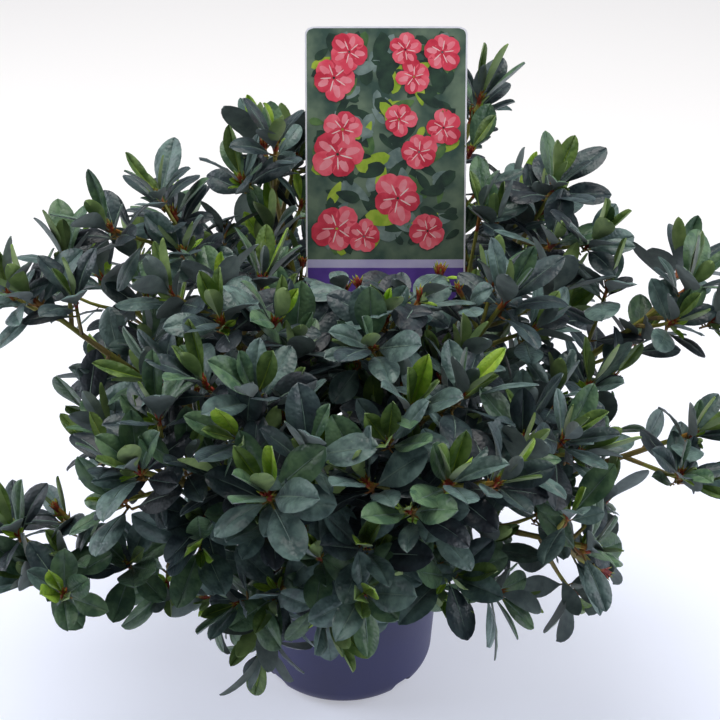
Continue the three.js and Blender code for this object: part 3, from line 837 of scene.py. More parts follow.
def make_label():
    """The plant label: a card on a peg, printed with plain blossoms and a violet foot band."""
    half = LABEL["thickness"] / 2
    corner = np.linspace(0, LABEL["corner"], 7)
    peg = list(np.linspace(-LABEL["peg_depth"], card_bottom - LABEL["peg_shoulder"], 14))
    shoulder = list(np.linspace(card_bottom - LABEL["peg_shoulder"], card_bottom - 0.01, 5)[1:])
    card = list(card_bottom + corner) + list(np.linspace(card_bottom + 12, label_top - 12, 12))
    card += list(label_top - corner[::-1])
    body = Heap()
    body.add(*sheet_between(peg + shoulder + card, 0.0, -half, half))
    white = printed_film("polypropylene_film_white", "#e9e8ee", "#f4f3f7")
    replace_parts(body.piece("label_card", [white], "label"), "plant_label")

    border = LABEL["border"]
    round_in = np.linspace(0, LABEL["corner"] - border, 5)
    low = card_bottom + border
    band = low + 28
    stripe = band + 5
    inks = {
        "violet": list(low + round_in) + [band], "lilac": [band, stripe],
        "ground": list(np.linspace(stripe, label_top - LABEL["corner"], 12))
        + list(label_top - border - round_in[::-1]),
    }
    tones = {
        "violet": ("#5b3f96", "#6b4dab"), "lilac": ("#c0b9e0", "#d2cdea"),
        "ground": ("#3c5449", "#70836b"),
    }
    for ink, levels in inks.items():
        heap = Heap()
        heap.add(*sheet_between(levels, border, half - 0.1, half + 0.05))
        heap.piece("label_print_" + ink, [printed_film("ink_" + ink, *tones[ink], cloud=16)], "label")
    motifs = {
        "dark": ("#22352c", "#324c38"), "grey": ("#5f746e", "#869890"), "yellow": ("#8fae2c", "#b4c945"),
        "leaf": ("#46683a", "#64854a"),
        "coral": ("#ee4a5f", "#fb7482"), "deep": ("#cf2c43", "#e8445b"),
        "blush": ("#f7808c", "#fb9ca4"), "stamen": ("#f4c9c4", "#fbe0da"),
    }
    heaps = {name: Heap() for name in motifs}
    rise = print_leaves(heaps, half + 0.07)
    print_blossoms(heaps, rise + 0.01)
    for name, heap in heaps.items():
        heap.piece("label_print_" + name, [printed_film("ink_" + name, *motifs[name])], "label")


# ---------------------------------------------------------------- stem and boughs


def bark_relief(rings, sides, seed, depth):
    """Shares of the radius, one for each side of each ring: long ridges with knots in them."""
    random = np.random.default_rng(seed)
    ridges = random.normal(0, 1, sides)
    ridges = (ridges + np.roll(ridges, 1)) / 2
    drift = np.cumsum(random.normal(0, 0.35, (rings, sides)), axis=0)
    drift -= drift.mean(axis=0)
    knots = random.random((rings, 1)) ** 9
    return 1 + depth * (ridges + 0.6 * np.tanh(drift) + 1.5 * knots)


def stem_centre_at(level):
    bend = (level / STEM["height"]) ** 2
    return np.array([STEM["lean"][0] * bend, STEM["lean"][1] * bend, STEM["foot"] + level])


def stem_radius_at(level):
    flare = max(0.0, 1 - level / STEM["flare_height"]) ** 2
    taper = mix(STEM["radius"], STEM["top_radius"], level / STEM["height"])
    return taper + (STEM["flare"] - STEM["radius"]) * flare


def make_stem(heap):
    rings = 30
    sides = 26
    levels = np.r_[np.linspace(0, 0.9, rings), 0.94, 0.97, 0.99, 1.0] * STEM["height"]
    path = [stem_centre_at(level) for level in levels]
    relief = bark_relief(len(levels), sides, 5, 0.035)
    dome = [1.0] * rings + [0.97, 0.88, 0.7, 0.4]
    radii = [stem_radius_at(z) * share * d for z, share, d in zip(levels, relief, dome)]
    heap.add(*tube(path, radii, sides))


# A bough's solid has this many rings of corners past its root, with this many corners to a ring.
SOLID_BOUGH = dict(rings=4, sides=5)


def bough_rings(name, tip):
    """Middles of a bough's rings, from the stem outwards, read from its solid."""
    corners = np.array([v.co[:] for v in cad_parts["bough_" + name].data.vertices]) / MM
    corners = np.unique(np.round(corners, 2), axis=0)
    corners = corners[np.argsort(np.linalg.norm(corners - tip, axis=1))]
    sides = SOLID_BOUGH["sides"]
    count = SOLID_BOUGH["rings"]
    rings = [corners[k * sides:(k + 1) * sides].mean(axis=0) for k in range(count)]
    return [corners[count * sides:].mean(axis=0)] + rings[::-1]


Mass = namedtuple("Mass", "name order tip bough line centre")
ROOT_SUNK = 4.5                     # how far a bough starts inside the stem


def read_masses():
    """Each mass's bough as a line from the stem, and its stem from there to its leading tip."""
    masses = []
    steps = 8
    for order, (name, place) in enumerate(MASSES.items()):
        tip = around(*place)
        rings = bough_rings(name, tip)
        whole = smooth_line(rings + [tip], steps)
        stretch = len(whole) - steps - 1
        root = whole[0] - unit(whole[1] - whole[0]) * ROOT_SUNK
        bough = np.vstack([root, whole[:stretch + 1]])
        masses.append(Mass(name, order, tip, bough, whole[stretch:], mix(tip, rings[-1], 0.35)))
    return masses


def make_boughs(heap, masses):
    """Boughs with grey flakes on the old wood, which give way to brown and then to olive skin."""
    random = np.random.default_rng(12)
    sides = 10
    for mass in masses:
        rings = len(mass.bough)
        shares = np.arange(rings) / (rings - 1)
        radii = mix(2.8, 1.9, shares) + 1.4 * np.exp(-shares * 22)
        relief = bark_relief(rings, sides, 60 + mass.order, 0.05)
        youth = shares[1:, None] + random.normal(0, 0.09, (rings - 1, sides))
        skins = (youth > 0.32).astype(int) + (youth > 0.5) + (youth > 0.7)
        heap.add(*tube(mass.bough, radii[:, None] * relief, sides), banded(skins, sides))


# ---------------------------------------------------------------- growth

Leaf = namedtuple("Leaf", "root along upper length width arch fold kind")
Shoot = namedtuple("Shoot", "line foot tip size vigour mass")

BOX_MARGIN = 12                     # how far leaves may pass the solids' box
BLADES_APART = 4.6                  # least distance between the middles of two blades
INTO_NEXT_MASS = 14                 # how far a leaf may reach into another mass's space


class Crown:
    """Everything grown on the boughs: shoots with their leaves, stalks and buds."""

    def __init__(self, masses):
        self.masses = masses
        self.centres = np.array([mass.centre for mass in masses])
        self.tips = []
        self.shoots = []
        self.leaves = []
        self.buds = []
        self.near = defaultdict(list)
        self.low = np.array(cad_box[0]) / MM - BOX_MARGIN
        self.high = np.array(cad_box[1]) / MM + BOX_MARGIN

    def in_own_space(self, points, mass, margin):
        """Whether points lie nearer to their own mass's centre than to any other's."""
        own = self.centres[mass.order]
        others = np.delete(self.centres, mass.order, axis=0)
        apart = np.linalg.norm(others - own, axis=1)
        to_others = ((points[:, None] - others) ** 2).sum(axis=2)
        lead = to_others - ((points - own) ** 2).sum(axis=1)[:, None]
        return (lead / (2 * apart) > margin).all()

    def free(self, points):
        """Whether points keep clear of pot and label, and inside the plant's box."""
        inside = (points > self.low).all() and (points < self.high).all()
        return inside and clear_of_pot(points) and clear_of_label(points)

    def apart(self, point, distance):
        return all(np.linalg.norm(point - other) > distance for other in self.tips)

    def crowded(self, points):
        """Whether another blade's middle lies too close to these points."""
        for point in points:
            cell = np.floor(point / BLADES_APART).astype(int)
            for step in NEIGHBOURS:
                for other in self.near[tuple(cell + step)]:
                    if np.linalg.norm(other - point) < BLADES_APART:
                        return True
        return False

    def place_leaf(self, leaf, own):
        """Keeps a leaf, a little smaller if need be, where it touches nothing."""
        for size in (1.0, 0.85, 0.7):
            tried = leaf._replace(length=leaf.length * size, width=leaf.width * size)
            spine, edges = leaf_reach(tried)
            everything = np.vstack([spine, edges])
            if not self.free(everything) or not out_of_clearings(spine[1:]):
                continue
            if self.crowded(spine[1:]):
                continue
            if not self.in_own_space(spine[:3], own, -INTO_NEXT_MASS):
                continue
            for point in spine[1:]:
                self.near[tuple(np.floor(point / BLADES_APART).astype(int))].append(point)
            self.leaves.append(tried)
            return


NEIGHBOURS = np.array([(x, y, z) for x in (-1, 0, 1) for y in (-1, 0, 1) for z in (-1, 0, 1)])


def camera_axes():
    """The directions ahead of the camera and up its view."""
    dip = math.radians(CAMERA["dip"])
    ahead = np.array([0, math.cos(dip), -math.sin(dip)])
    return ahead, np.array([0, math.sin(dip), math.cos(dip)])


def place_of(spot):
    """Where a spot is. One that is seen is worked out to whole degrees and millimetres."""
    if isinstance(spot, Placed):
        return around(*spot)
    ahead, above = camera_axes()
    sight = ahead * VIEW * CAMERA["lens"] / CAMERA["sensor"] - above * (spot.down - VIEW / 2)
    sight[0] += spot.across - VIEW / 2
    eye = np.array(CAMERA["place"])
    point = eye + sight * (spot.back - eye[1]) / sight[1]
    heading = round(math.degrees(math.atan2(point[1], point[0])) % 360)
    reach = round(math.hypot(point[0], point[1]))
    return around(heading + spot.turn, reach + spot.out, round(point[2]) + spot.up)


def seen_at(points):
    """Where points stand in the camera's view, in steps across it and down it."""
    ahead, above = camera_axes()
    from_eye = points - np.array(CAMERA["place"])
    scale = VIEW * CAMERA["lens"] / CAMERA["sensor"] / (from_eye @ ahead)
    return np.c_[VIEW / 2 + scale * from_eye[:, 0], VIEW / 2 - scale * (from_eye @ above)]


def out_of_clearings(points, room=0):
    windows = np.array(list(CLEARINGS.values()))
    from_middle = np.linalg.norm(seen_at(points)[:, None] - windows[:, :2], axis=2)
    return (from_middle > windows[:, 2] + room).all()


def clear_of_pot(points):
    reach = np.hypot(points[:, 0], points[:, 1])
    outside = (reach > POT["rim_radius"] + 2) & (points[:, 2] > 20)
    return ((points[:, 2] > POT["height"] + 2.5) | outside).all()


def clear_of_label(points):
    """Whether a leaf keeps clear of the label, and of the view of the card's printed face."""
    from_foot = points - label_foot
    across = from_foot[:, 0]
    up = from_foot @ label_up
    out = from_foot @ label_out
    margin = 2.2

    def beside(half):
        return across.min() > half + margin or across.max() < -half - margin

    off_plane = out.min() > margin or out.max() < -margin
    level_clear = up.max() < card_bottom - margin or up.min() > label_top + margin
    clear_of_card = beside(LABEL["width"] / 2) or level_clear or off_plane
    clear_of_peg = beside(LABEL["peg_width"] * 1.5) or up.min() > card_bottom or off_plane
    shown_from = card_bottom + LABEL["height"] * LABEL["open_above"]
    in_front = out.max() > 0 and up.max() > shown_from and not beside(LABEL["width"] / 2 - 3)
    return clear_of_card and clear_of_peg and not in_front


def leaf_reach(leaf):
    """Points along a leaf's middle, and at its edges, that stand for all of it."""
    shares = np.array([0.2, 0.45, 0.7, 0.97])
    bulge = leaf.length * leaf.arch / 8 * 4 * shares * (1 - shares)
    spine = leaf.root + np.outer(shares * leaf.length, leaf.along) + np.outer(bulge, leaf.upper)
    side = np.cross(leaf.upper, leaf.along) * leaf.width / 2
    return spine, np.vstack([spine[1:3] + side, spine[1:3] - side])


def leaf_at(root, axis, tilt, turn, length, shape, kind, lift=0.0, roll=0.0):
    """A leaf leaning out from a shoot. Lift turns its upper side to the light, and roll twists
    its stalk."""
    along, upper = leaning(axis, math.radians(tilt), turn)
    upper = unit(upper + UP * lift)
    upper = unit(upper - along * (upper @ along))
    upper = upper * math.cos(roll) + np.cross(along, upper) * math.sin(roll)
    width, arch, fold = shape
    return Leaf(root, along, upper, length, length * width, arch, fold, kind)


def rosette(crown, tip, axis, size, vigour, mass, random):
    """Leaves round a shoot's end: flat old ones outside, then steeper, then young ones inside."""
    phase = random() * 2 * math.pi
    leaf_number = 0
    low = tip[2] < LOW_SHOOT
    droop = 18 * random() if low else 0
    rings = (
        # count, tilt from and to, length from and to, depth below the tip, width, ages
        (4 + int(random() * 2), 56 + droop, 90 + droop, 30, 42, 10, 0.48, "old"),
        (4, 27, 58, 30, 43, 4.5, 0.45, "grown"),
        (3 + int(random() * 2), 6, 28, 25, 38, 0.5, 0.38, "young"),
    )
    for count, steep, flat, short, long, depth, width, age in rings:
        for k in range(count):
            turn = phase + leaf_number * GOLDEN_TURN + 0.4 * (random() - 0.5)
            leaf_number += 1
            tilt = mix(steep, flat, random())
            length = mix(short, long, random()) * size
            arch = {"old": 0.55, "grown": 0.3, "young": -0.2}[age] + 0.9 * (random() - 0.45)
            fold = {"old": 0.10, "grown": 0.22, "young": 0.42}[age] + 0.28 * random()
            root = tip - axis * (depth * (0.6 + 0.7 * k / count))
            shape = (width * mix(0.85, 1.15, random()), arch, fold)
            kind = leaf_kind(age, vigour, random(), low)
            lift = 0.35 if age == "old" else 0.1
            roll = 1.0 * (random() - 0.5)
            leaf = leaf_at(root, axis, tilt, turn, length, shape, kind, lift, roll)
            crown.place_leaf(leaf, mass)
    crown.buds.append((tip, axis, size * mix(0.8, 1.2, random())))
    if random() < 0.45 + 0.3 * vigour:
        sprig(crown, tip, axis, size, random)


def sprig(crown, tip, axis, size, random):
    """A tuft of tiny bright leaves that breaks beside a shoot's end."""
    outward, _ = leaning(axis, math.radians(mix(38, 62, random())), random() * 2 * math.pi)
    for k in range(4):
        length = mix(9, 16, random()) * size
        leaf = leaf_at(tip - axis * 5, outward, mix(8, 46, random()), k * GOLDEN_TURN, length,
                       (0.34, 0.4 * random(), 0.45), "fresh")
        if crown.free(np.vstack(leaf_reach(leaf))):
            crown.leaves.append(leaf)


def leaf_kind(age, vigour, chance, low):
    """Which finish a leaf gets, from its age and how strongly its spray is growing."""
    if low and age != "young":
        return "settled" if chance < 0.18 else "seasoned" if chance < 0.5 else "summer"
    if age == "old":
        return "shaded" if chance < 0.3 else "settled" if chance < 0.66 else "seasoned"
    if age == "grown":
        return "settled" if chance < 0.28 else "seasoned" if chance < 0.78 - 0.35 * vigour else "summer"
    if chance < 0.3 - 0.2 * vigour:
        return "summer"
    return "late" if chance < 0.94 - 0.2 * vigour else "fresh"


def dress_shoot(crown, shoot, first, last, spacing, random):
    """Older leaves down a shoot, some of them already fallen."""
    length = np.linalg.norm(np.diff(shoot.line, axis=0), axis=1).sum()
    count = int(length * (last - first) / spacing)
    phase = random() * 2 * math.pi
    for k in range(count):
        share = mix(first, last, (k + random() * 0.6) / count)
        root, axis = along_line(shoot.line, share)
        turn = phase + k * GOLDEN_TURN
        shape = (mix(0.42, 0.54, random()), mix(0.1, 1.0, random()), mix(0.05, 0.3, random()))
        kind = leaf_kind("old", shoot.vigour, random(), root[2] < LOW_SHOOT)
        leaf = leaf_at(root, axis, mix(48, 88, random()), turn, mix(24, 37, random()), shape, kind,
                       0.3, random() - 0.5)
        if random() > 0.14:
            crown.place_leaf(leaf, shoot.mass)


def bent_shoot(root, along, length, lift):
    """A shoot that leaves its parent along a direction and bends up to the light."""
    end_axis = unit(along + UP * lift)
    middle = root + along * length * 0.5
    end = middle + end_axis * length * 0.5
    shares = np.linspace(0, 1, 7)[:, None]
    return (1 - shares) ** 2 * root + 2 * shares * (1 - shares) * middle + shares ** 2 * end


def side_shoots(mass, random):
    """The mass's two side shoots, by the same draws as in its solid."""
    stem_axis = unit(mass.line[-1] - mass.line[len(mass.line) // 2])
    for k in range(SIDE_SHOOT["count"]):
        root, _ = along_line(mass.line, 0.2 + 0.6 * k / SIDE_SHOOT["count"])
        turn = random() * 0.9 + k * GOLDEN_TURN + mass.order
        tilt = math.radians(SIDE_SHOOT["tilt"] + 12 * (random() - 0.5))
        along, _ = leaning(stem_axis, tilt, turn)
        yield root, unit(along + UP * 0.25)


def try_shoot(crown, mass, root, along, length, lift, margin):
    """A shoot of that length or a little less, if it fits the mass's space."""
    while length > 10:
        line = bent_shoot(root, along, length, lift)
        if crown.in_own_space(line[2:], mass, margin) and crown.free(line[2:]):
            return line
        length *= 0.82
    return None


def grow(crown, mass):
    seed = 1000 + mass.order * 77
    own = [Shoot(mass.line, 1.75, 1.25, 1.0, seeded(seed)(), mass)]
    random = seeded(seed)
    crown.tips.append(mass.tip)
    for root, along in side_shoots(mass, random):
        line = try_shoot(crown, mass, root, along, SIDE_SHOOT["length"], 0.0, 1.8)
        if line is not None and out_of_clearings(line[-1:], CLEAR_TIP):
            crown.tips.append(line[-1])
            own.append(Shoot(line, 1.4, 1.1, 0.94, random(), mass))
    own += fine_shoots(crown, mass, own, random)
    own += spurs(crown, mass, random)
    crown.shoots += own


def within_reach(mass, point):
    """Whether a shoot's end stays about as low and as far in as its mass's leading tip."""
    past = math.hypot(*point[:2]) - math.hypot(*mass.tip[:2])
    return point[2] < mass.tip[2] + FINE_SHOOT["above_tip"] and past < FINE_SHOOT["past_tip"]


def outer_shoots(crown):
    """The single shoots, each grown up and outwards from the nearest mass's limbs."""
    for order, spot in enumerate(OUTER_SHOOTS.values()):
        random = seeded(6100 + order)
        tip = place_of(spot)
        mass = crown.masses[np.linalg.norm(crown.centres - tip, axis=1).argmin()]
        limb = np.vstack([mass.bough[len(mass.bough) // 2:], mass.line[:-3]])
        passed = np.hypot(limb[:, 0], limb[:, 1]) - math.hypot(*tip[:2]) + 15
        detour = np.linalg.norm(limb - tip, axis=1) + 2 * np.maximum(passed, 0)
        root = limb[detour.argmin()]
        length = np.linalg.norm(tip - root)
        bend = mix(root, tip, 0.55) - UP * length * 0.14
        shares = np.linspace(0, 1, 9)[:, None]
        line = (1 - shares) ** 2 * root + 2 * shares * (1 - shares) * bend + shares ** 2 * tip
        crown.tips.append(tip)
        crown.shoots.append(Shoot(line, 1.35, 0.95, mix(0.88, 1.0, random()), random(), mass))


def fine_shoots(crown, mass, parents, random):
    """Finer shoots from the stem, the side shoots and the bough's outer part."""
    grown = []
    sources = [(parent.line, 0.15, 0.8) for parent in parents] + [(mass.bough, 0.5, 1.0)]
    for k in range(FINE_SHOOT["tries"]):
        if len(grown) == FEW_FINE_SHOOTS.get(mass.name, FINE_SHOOT["count"]):
            break
        line, first, last = sources[k % len(sources)]
        root, axis = along_line(line, mix(first, last, random()))
        along, _ = leaning(axis, math.radians(mix(*FINE_SHOOT["tilt"], random())), random() * 2 * math.pi)
        along = unit(along + UP * 0.2)
        length = mix(FINE_SHOOT["shortest"], FINE_SHOOT["longest"], random())
        line = try_shoot(crown, mass, root, along, length, 0.8, -2)
        if line is None or not crown.apart(line[-1], FINE_SHOOT["apart"]):
            continue
        if not within_reach(mass, line[-1]) or not out_of_clearings(line[-1:], CLEAR_TIP):
            continue
        crown.tips.append(line[-1])
        grown.append(Shoot(line, 1.2, 0.95, mix(0.8, 0.98, random()), random(), mass))
    return grown


def spurs(crown, mass, random):
    """Short leafy spurs on the inner half of the bough, which fill the crown's inside."""
    grown = []
    for _ in range(SPUR["tries"]):
        if len(grown) == SPUR["count"]:
            break
        root, axis = along_line(mass.bough, mix(0.25, 0.75, random()))
        along, _ = leaning(axis, math.radians(mix(*SPUR["tilt"], random())), random() * 2 * math.pi)
        along = unit(along + UP * 0.35)
        line = bent_shoot(root, along, mix(SPUR["shortest"], SPUR["longest"], random()), 0.3)
        if crown.apart(line[-1], SPUR["apart"]) and crown.free(line[2:]):
            crown.tips.append(line[-1])
            grown.append(Shoot(line, 1.1, 0.9, mix(0.75, 0.92, random()), 0.0, mass))
    return grown


def leaf_out(crown):
    """Leaves on every shoot, the outer ones first so that they get the room."""
    for number, shoot in enumerate(crown.shoots):
        random = seeded(52000 + number * 31)
        tip = shoot.line[-1]
        axis = unit(unit(tip - shoot.line[-2]) + UP * (0.75 if tip[2] > HANGING else -0.1))
        vigour = min(max(0.6 * shoot.vigour + 0.2 - tip[0] / 500, 0.0), 1.0)
        rosette(crown, tip, axis, shoot.size, vigour, shoot.mass, random)
    for number, shoot in enumerate(crown.shoots):
        random = seeded(91000 + number * 17)
        spacing = 13 if shoot.mass.name in FEW_FINE_SHOOTS else 7
        dress_shoot(crown, shoot, 0.3, 0.8, spacing, random)
    for mass in crown.masses:
        bough = Shoot(mass.bough, 0, 0, 1.0, 0.0, mass)
        dress_shoot(crown, bough, 0.55, 1.0, 9.0, seeded(7700 + mass.order))


# ---------------------------------------------------------------- leaves, shoots and buds

STATIONS = np.array([0, 0.06, 0.16, 0.28, 0.40, 0.52, 0.64, 0.76, 0.87, 0.95, 1.0])
COLUMNS = np.array([-1, -0.56, -0.13, 0, 0.13, 0.56, 1])
WIDEST = 0.58                       # share of a leaf's length at which it is widest
STALK = 0.10                        # share of a leaf's length that is its stalk
BLADE_THICKNESS = 0.45
SMALLEST_RIBBED = 16                # shorter leaves have no rib to be seen
SHOOT_SIDES = 7                     # sides of the tubes that make shoots and buds
STALK_SIDES = 4                     # sides of the tubes that make ribs, stalks and scales


def half_outline(shares):
    """Half the width of an azalea leaf along its length, as a share of the most."""
    foot = np.sin(np.minimum(shares / WIDEST, 1) * math.pi / 2) ** 1.15
    point = (1 - (np.maximum(shares - WIDEST, 0) / (1 - WIDEST)) ** 2) ** 0.62
    return np.maximum(foot * point, 0.055)


@functools.lru_cache(maxsize=None)
def blade_faces():
    """Triangles of one leaf: its upper face, its back and its two ends, and which are the back."""
    rows = len(STATIONS)
    columns = len(COLUMNS)
    spine = rows * columns
    faces = []
    back = []
    for s in range(rows - 1):
        for c in range(columns - 1):
            a = s * columns + c
            faces += [(a, a + columns, a + columns + 1), (a, a + columns + 1, a + 1)]
        left = s * columns
        right = left + columns - 1
        back += [(left, spine + s, spine + s + 1), (left, spine + s + 1, left + columns)]
        back += [(spine + s, right, right + columns), (spine + s, right + columns, spine + s + 1)]
    end = (rows - 1) * columns
    for c in range(columns - 1):
        faces += [(spine, c, c + 1), (spine + rows - 1, end + c + 1, end + c)]
    return np.array(faces + back), np.r_[np.zeros(len(faces), int), np.ones(len(back), int)]


def spine_curve(length, arch):
    """How far forward and how high a leaf's middle is at each station."""
    steps = np.diff(STATIONS)
    angle = arch[:, None] * (0.5 - (STATIONS[1:] + STATIONS[:-1]) / 2)
    start = np.zeros((len(length), 1))
    forward = np.hstack([start, np.cumsum(np.cos(angle) * steps, axis=1)]) * length[:, None]
    return forward, np.hstack([start, np.cumsum(np.sin(angle) * steps, axis=1)]) * length[:, None]


def add_blades(heap, leaves):
    """Adds leaves: folded along the midrib, arched, puckered between the veins, edges rolled."""
    root, along, upper = (np.array([getattr(leaf, part) for leaf in leaves])
                          for part in ("root", "along", "upper"))
    length, width, arch, fold = (np.array([getattr(leaf, part) for leaf in leaves])
                                 for part in ("length", "width", "arch", "fold"))
    root = root + along * (length * STALK)[:, None]
    length = length * (1 - STALK)
    side = np.cross(upper, along)
    forward, rise = spine_curve(length, arch)
    half = half_outline(STATIONS) * width[:, None] / 2
    across = COLUMNS * half[..., None]
    out = np.abs(COLUMNS)
    wave = np.sin(7 * STATIONS + 40 * fold[:, None])[..., None] * out ** 2 * 0.045
    lift = (np.sin(fold)[:, None, None] * out - 0.24 * out ** 3 + wave) * half[..., None]
    pucker = 0.17 * np.where(np.arange(len(STATIONS)) % 2, 1, -1)
    lift = lift + np.where(np.abs(out - 0.56) < 0.1, pucker[:, None], 0) * (half / 8)[..., None]
    lift = lift - np.where(out == 0, 0.32, 0)
    reach = across * np.cos(fold)[:, None, None]
    top = (root[:, None, None] + along[:, None, None] * forward[..., None, None]
           + upper[:, None, None] * (rise[..., None] + lift)[..., None]
           + side[:, None, None] * reach[..., None])
    middle = top[:, :, len(COLUMNS) // 2] - upper[:, None] * BLADE_THICKNESS
    points = np.concatenate([top.reshape(len(leaves), -1, 3), middle], axis=1)
    faces, backs = blade_faces()
    per_leaf = points.shape[1]
    offsets = (np.arange(len(leaves)) * per_leaf)[:, None, None]
    heap.add(points.reshape(-1, 3), (faces + offsets).reshape(-1, 3), np.tile(backs, len(leaves)))


def add_rib(heap, leaf):
    """A leaf's stalk and midrib: a fine tapering cord from the shoot along the blade."""
    rib_of = np.array([0.06, 0.28, 0.52, 0.76])
    length = leaf.length * (1 - STALK)
    start = leaf.root + leaf.along * leaf.length * STALK
    forward, rise = spine_curve(np.array([length]), np.array([leaf.arch]))
    ahead = np.interp(rib_of, STATIONS, forward[0])
    high = np.interp(rib_of, STATIONS, rise[0]) - 0.12
    blade = start + np.outer(ahead, leaf.along) + np.outer(high, leaf.upper)
    path = np.vstack([leaf.root - leaf.along * 0.8, blade])
    radii = np.array([0.66, 0.52, 0.36, 0.26, 0.12]) * leaf.length / 30
    heap.add(*tube(path, radii, STALK_SIDES), banded([1, 0, 0, 0], STALK_SIDES))


def make_leaves(crown, finishes):
    by_kind = defaultdict(list)
    for leaf in crown.leaves:
        by_kind[leaf.kind].append(leaf)
    ribs = {"green": Heap(), "pale": Heap()}
    pieces = []
    for kind, leaves in sorted(by_kind.items()):
        heap = Heap()
        add_blades(heap, leaves)
        backs = "pale_back" if kind in ("late", "fresh") else "grey_back"
        pieces.append(heap.piece("leaves_" + kind, [finishes[kind], finishes[backs]], "foliage", 62))
        for leaf in leaves:
            if leaf.length > SMALLEST_RIBBED:
                add_rib(ribs["pale" if kind in ("late", "fresh") else "green"], leaf)
    pieces.append(ribs["green"].piece(
        "leaf_ribs_green", [finishes["rib"], finishes["olive_stalk"]], "foliage"))
    pieces.append(ribs["pale"].piece(
        "leaf_ribs_pale", [finishes["pale_rib"], finishes["red_stalk"]], "foliage"))
    for piece in pieces:
        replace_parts(piece, *FOLIAGE)


def add_bud(heap, tip, axis, size, turn):
    """A shoot's end bud, wrapped in narrow scales, with the red bases of the leaves round it.
    The shoot is still olive below it, and the scales turn yellow green at their points."""
    levels = np.array([-6.0, -3.6, -1.5, 0.8, 2.6, 4.0, 4.8]) * size
    radii = np.array([1.1, 1.6, 1.9, 1.6, 1.1, 0.55, 0.1]) * size
    heap.add(*tube(tip + np.outer(levels, axis), radii, SHOOT_SIDES),
             banded([1, 0, 0, 0, 1, 2], SHOOT_SIDES))
    for k in range(6):
        along, _ = leaning(axis, math.radians(20 + 6 * (k % 3)), turn + k * GOLDEN_TURN)
        path = tip - axis * 3.5 * size + np.outer(np.array([0, 2.3, 4.6, 6.5, 8.5]) * size, along)
        radii = np.array([0.6, 0.9, 0.75, 0.5, 0.1]) * size
        heap.add(*tube(path, radii, STALK_SIDES), banded([0, 0, 1, 2], STALK_SIDES))


def make_shoots(crown, finishes):
    shoots = Heap()
    for number, shoot in enumerate(crown.shoots):
        count = len(shoot.line)
        radii = mix(shoot.foot, shoot.tip, np.arange(count) / (count - 1))
        swell = 1 + 0.10 * (np.arange(count) % 2)
        age = 0.3 * (number * 0.618 % 1)
        shares = np.arange(1, count) / count
        skins = (shares < 0.2 + age).astype(int) + (shares < age - 0.1)
        skins[-1] = 3
        shoots.add(*tube(shoot.line, radii * swell, SHOOT_SIDES), banded(skins, SHOOT_SIDES))
    skins = [finishes[name] for name in ("shoot", "tan_shoot", "brown_shoot", "red_stalk")]
    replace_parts(shoots.piece("shoots_green", skins, "foliage"), *FOLIAGE)
    buds = Heap()
    for number, (tip, axis, size) in enumerate(crown.buds):
        add_bud(buds, tip, axis, size, number * 1.7)
    scales = [finishes[name] for name in ("bud", "red_stalk", "bud_point")]
    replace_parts(buds.piece("shoot_buds", scales, "foliage"), *FOLIAGE)


def plant_finishes():
    return {
        "shaded": leaf_skin("leaf_waxy_shaded", "#161c22", "#212d30", (0.40, 0.52), 0.12),
        "settled": leaf_skin("leaf_waxy_settled", "#222f33", "#344544", (0.36, 0.48), 0.18),
        "seasoned": leaf_skin("leaf_waxy_seasoned", "#3b4f4b", "#597068", (0.34, 0.46), 0.30),
        "summer": leaf_skin("leaf_waxy_summer", "#37533b", "#54704d", (0.36, 0.48), 0.20),
        "late": leaf_skin("leaf_waxy_late", "#46602a", "#667e3d", (0.40, 0.50), 0.12),
        "fresh": leaf_skin("leaf_waxy_fresh", "#6f951e", "#97b436", (0.42, 0.52), 0.10),
        "grey_back": leaf_back("leaf_felted_grey", "#4b5956", "#67756f"),
        "pale_back": leaf_back("leaf_felted_pale", "#5c7633", "#788f4a"),
        "rib": green_bark("leaf_rib_fibrous", "#5a7068", "#788c7d"),
        "pale_rib": green_bark("leaf_rib_young", "#7a9834", "#98aa4b"),
        "olive_stalk": green_bark("leaf_stalk_olive", "#6f6a2a", "#83552a"),
        "red_stalk": green_bark("leaf_stalk_red", "#8f3019", "#8f6d22"),
        "shoot": green_bark("shoot_skin_olive", "#7b7d2e", "#918b40"),
        "tan_shoot": green_bark("shoot_skin_tan", "#7a6c36", "#887642"),
        "brown_shoot": green_bark("shoot_skin_brown", "#5c4a30", "#75603c"),
        "bud": green_bark("bud_scale_red", "#741a16", "#8f3a1f"),
        "bud_point": green_bark("bud_scale_green", "#7b8a22", "#96a033"),
    }


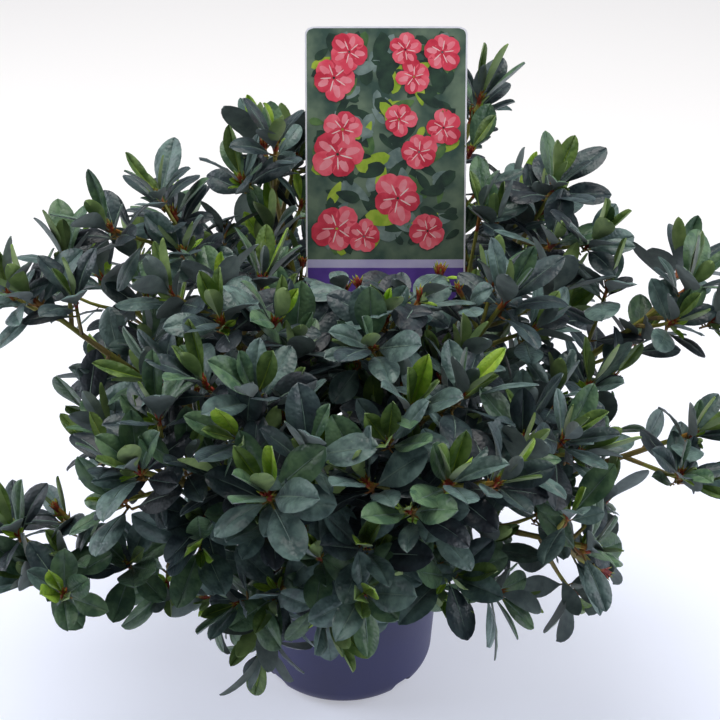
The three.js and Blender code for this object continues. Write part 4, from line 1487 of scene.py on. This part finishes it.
def make_plant():
    masses = read_masses()
    bark = old_bark()
    finishes = plant_finishes()
    stem = Heap()
    make_stem(stem)
    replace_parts(stem.piece("main_stem_bark", [bark], "stem"), "main_stem")
    boughs = Heap()
    make_boughs(boughs, masses)
    skins = [bark] + [finishes[name] for name in ("brown_shoot", "tan_shoot", "shoot")]
    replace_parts(boughs.piece("bough_bark", skins, "bough"), *BOUGHS)
    crown = Crown(masses)
    outer_shoots(crown)
    for mass in masses:
        grow(crown, mass)
    leaf_out(crown)
    make_leaves(crown, finishes)
    make_shoots(crown, finishes)


# ---------------------------------------------------------------- studio

BOARD_PAINTED_GLOW = (0.38, 0.43)          # painted glow of the floor, front and back: emission that lightens it though it is no lamp


def make_camera():
    data = bpy.data.cameras.new("camera")
    data.lens = CAMERA["lens"]
    data.sensor_width = CAMERA["sensor"]
    camera = bpy.data.objects.new("camera", data)
    camera.location = Vector(CAMERA["place"]) * MM
    camera.rotation_euler = (math.radians(90 - CAMERA["dip"]), 0, 0)
    bpy.context.scene.collection.objects.link(camera)
    bpy.context.scene.camera = camera


def soft_light(name, place, size, power, colour):
    """A square soft box aimed at the middle of the crown."""
    data = bpy.data.lights.new(name, "AREA")
    data.size = size
    data.energy = power
    data.color = linear(colour)[:3]
    light = bpy.data.objects.new(name, data)
    light.location = place
    aim = Vector((0, 0, 0.2)) - Vector(place)
    light.rotation_euler = aim.to_track_quat("-Z", "Y").to_euler()
    bpy.context.scene.collection.objects.link(light)


def make_studio():
    floor = Heap()
    rings = [(r, 0) for r in (0.0, 300, 900, 2000, 4000, 8000)]
    under = [(r, -20) for r in (8000, 4000, 0.0)]
    floor.add(*turned(under[::-1] + rings[::-1], 96))
    board = floor.mesh("floor")
    board.materials.append(board_with_painted_glow())
    ground = bpy.data.objects.new("floor", board)
    ground.location.z = -0.0002
    bpy.context.scene.collection.objects.link(ground)
    world = bpy.data.worlds.new("studio")
    world.use_nodes = True
    sky = world.node_tree.nodes["Background"]
    sky.inputs["Color"].default_value = linear("#e2e8fb")
    sky.inputs["Strength"].default_value = 0.23
    bpy.context.scene.world = world
    soft_light("overhead", (0.0, 0.35, 2.0), 1.4, 36, "#fffdfa")
    soft_light("window", (1.3, -0.1, 0.9), 1.0, 13, "#f2f6ff")
    soft_light("far_window", (-1.3, 0.2, 0.9), 1.0, 15, "#f2f6ff")
    bpy.context.scene.view_settings.view_transform = "Standard"


make_camera()
make_studio()
make_pot()
make_potting_mix()
make_label()
make_plant()
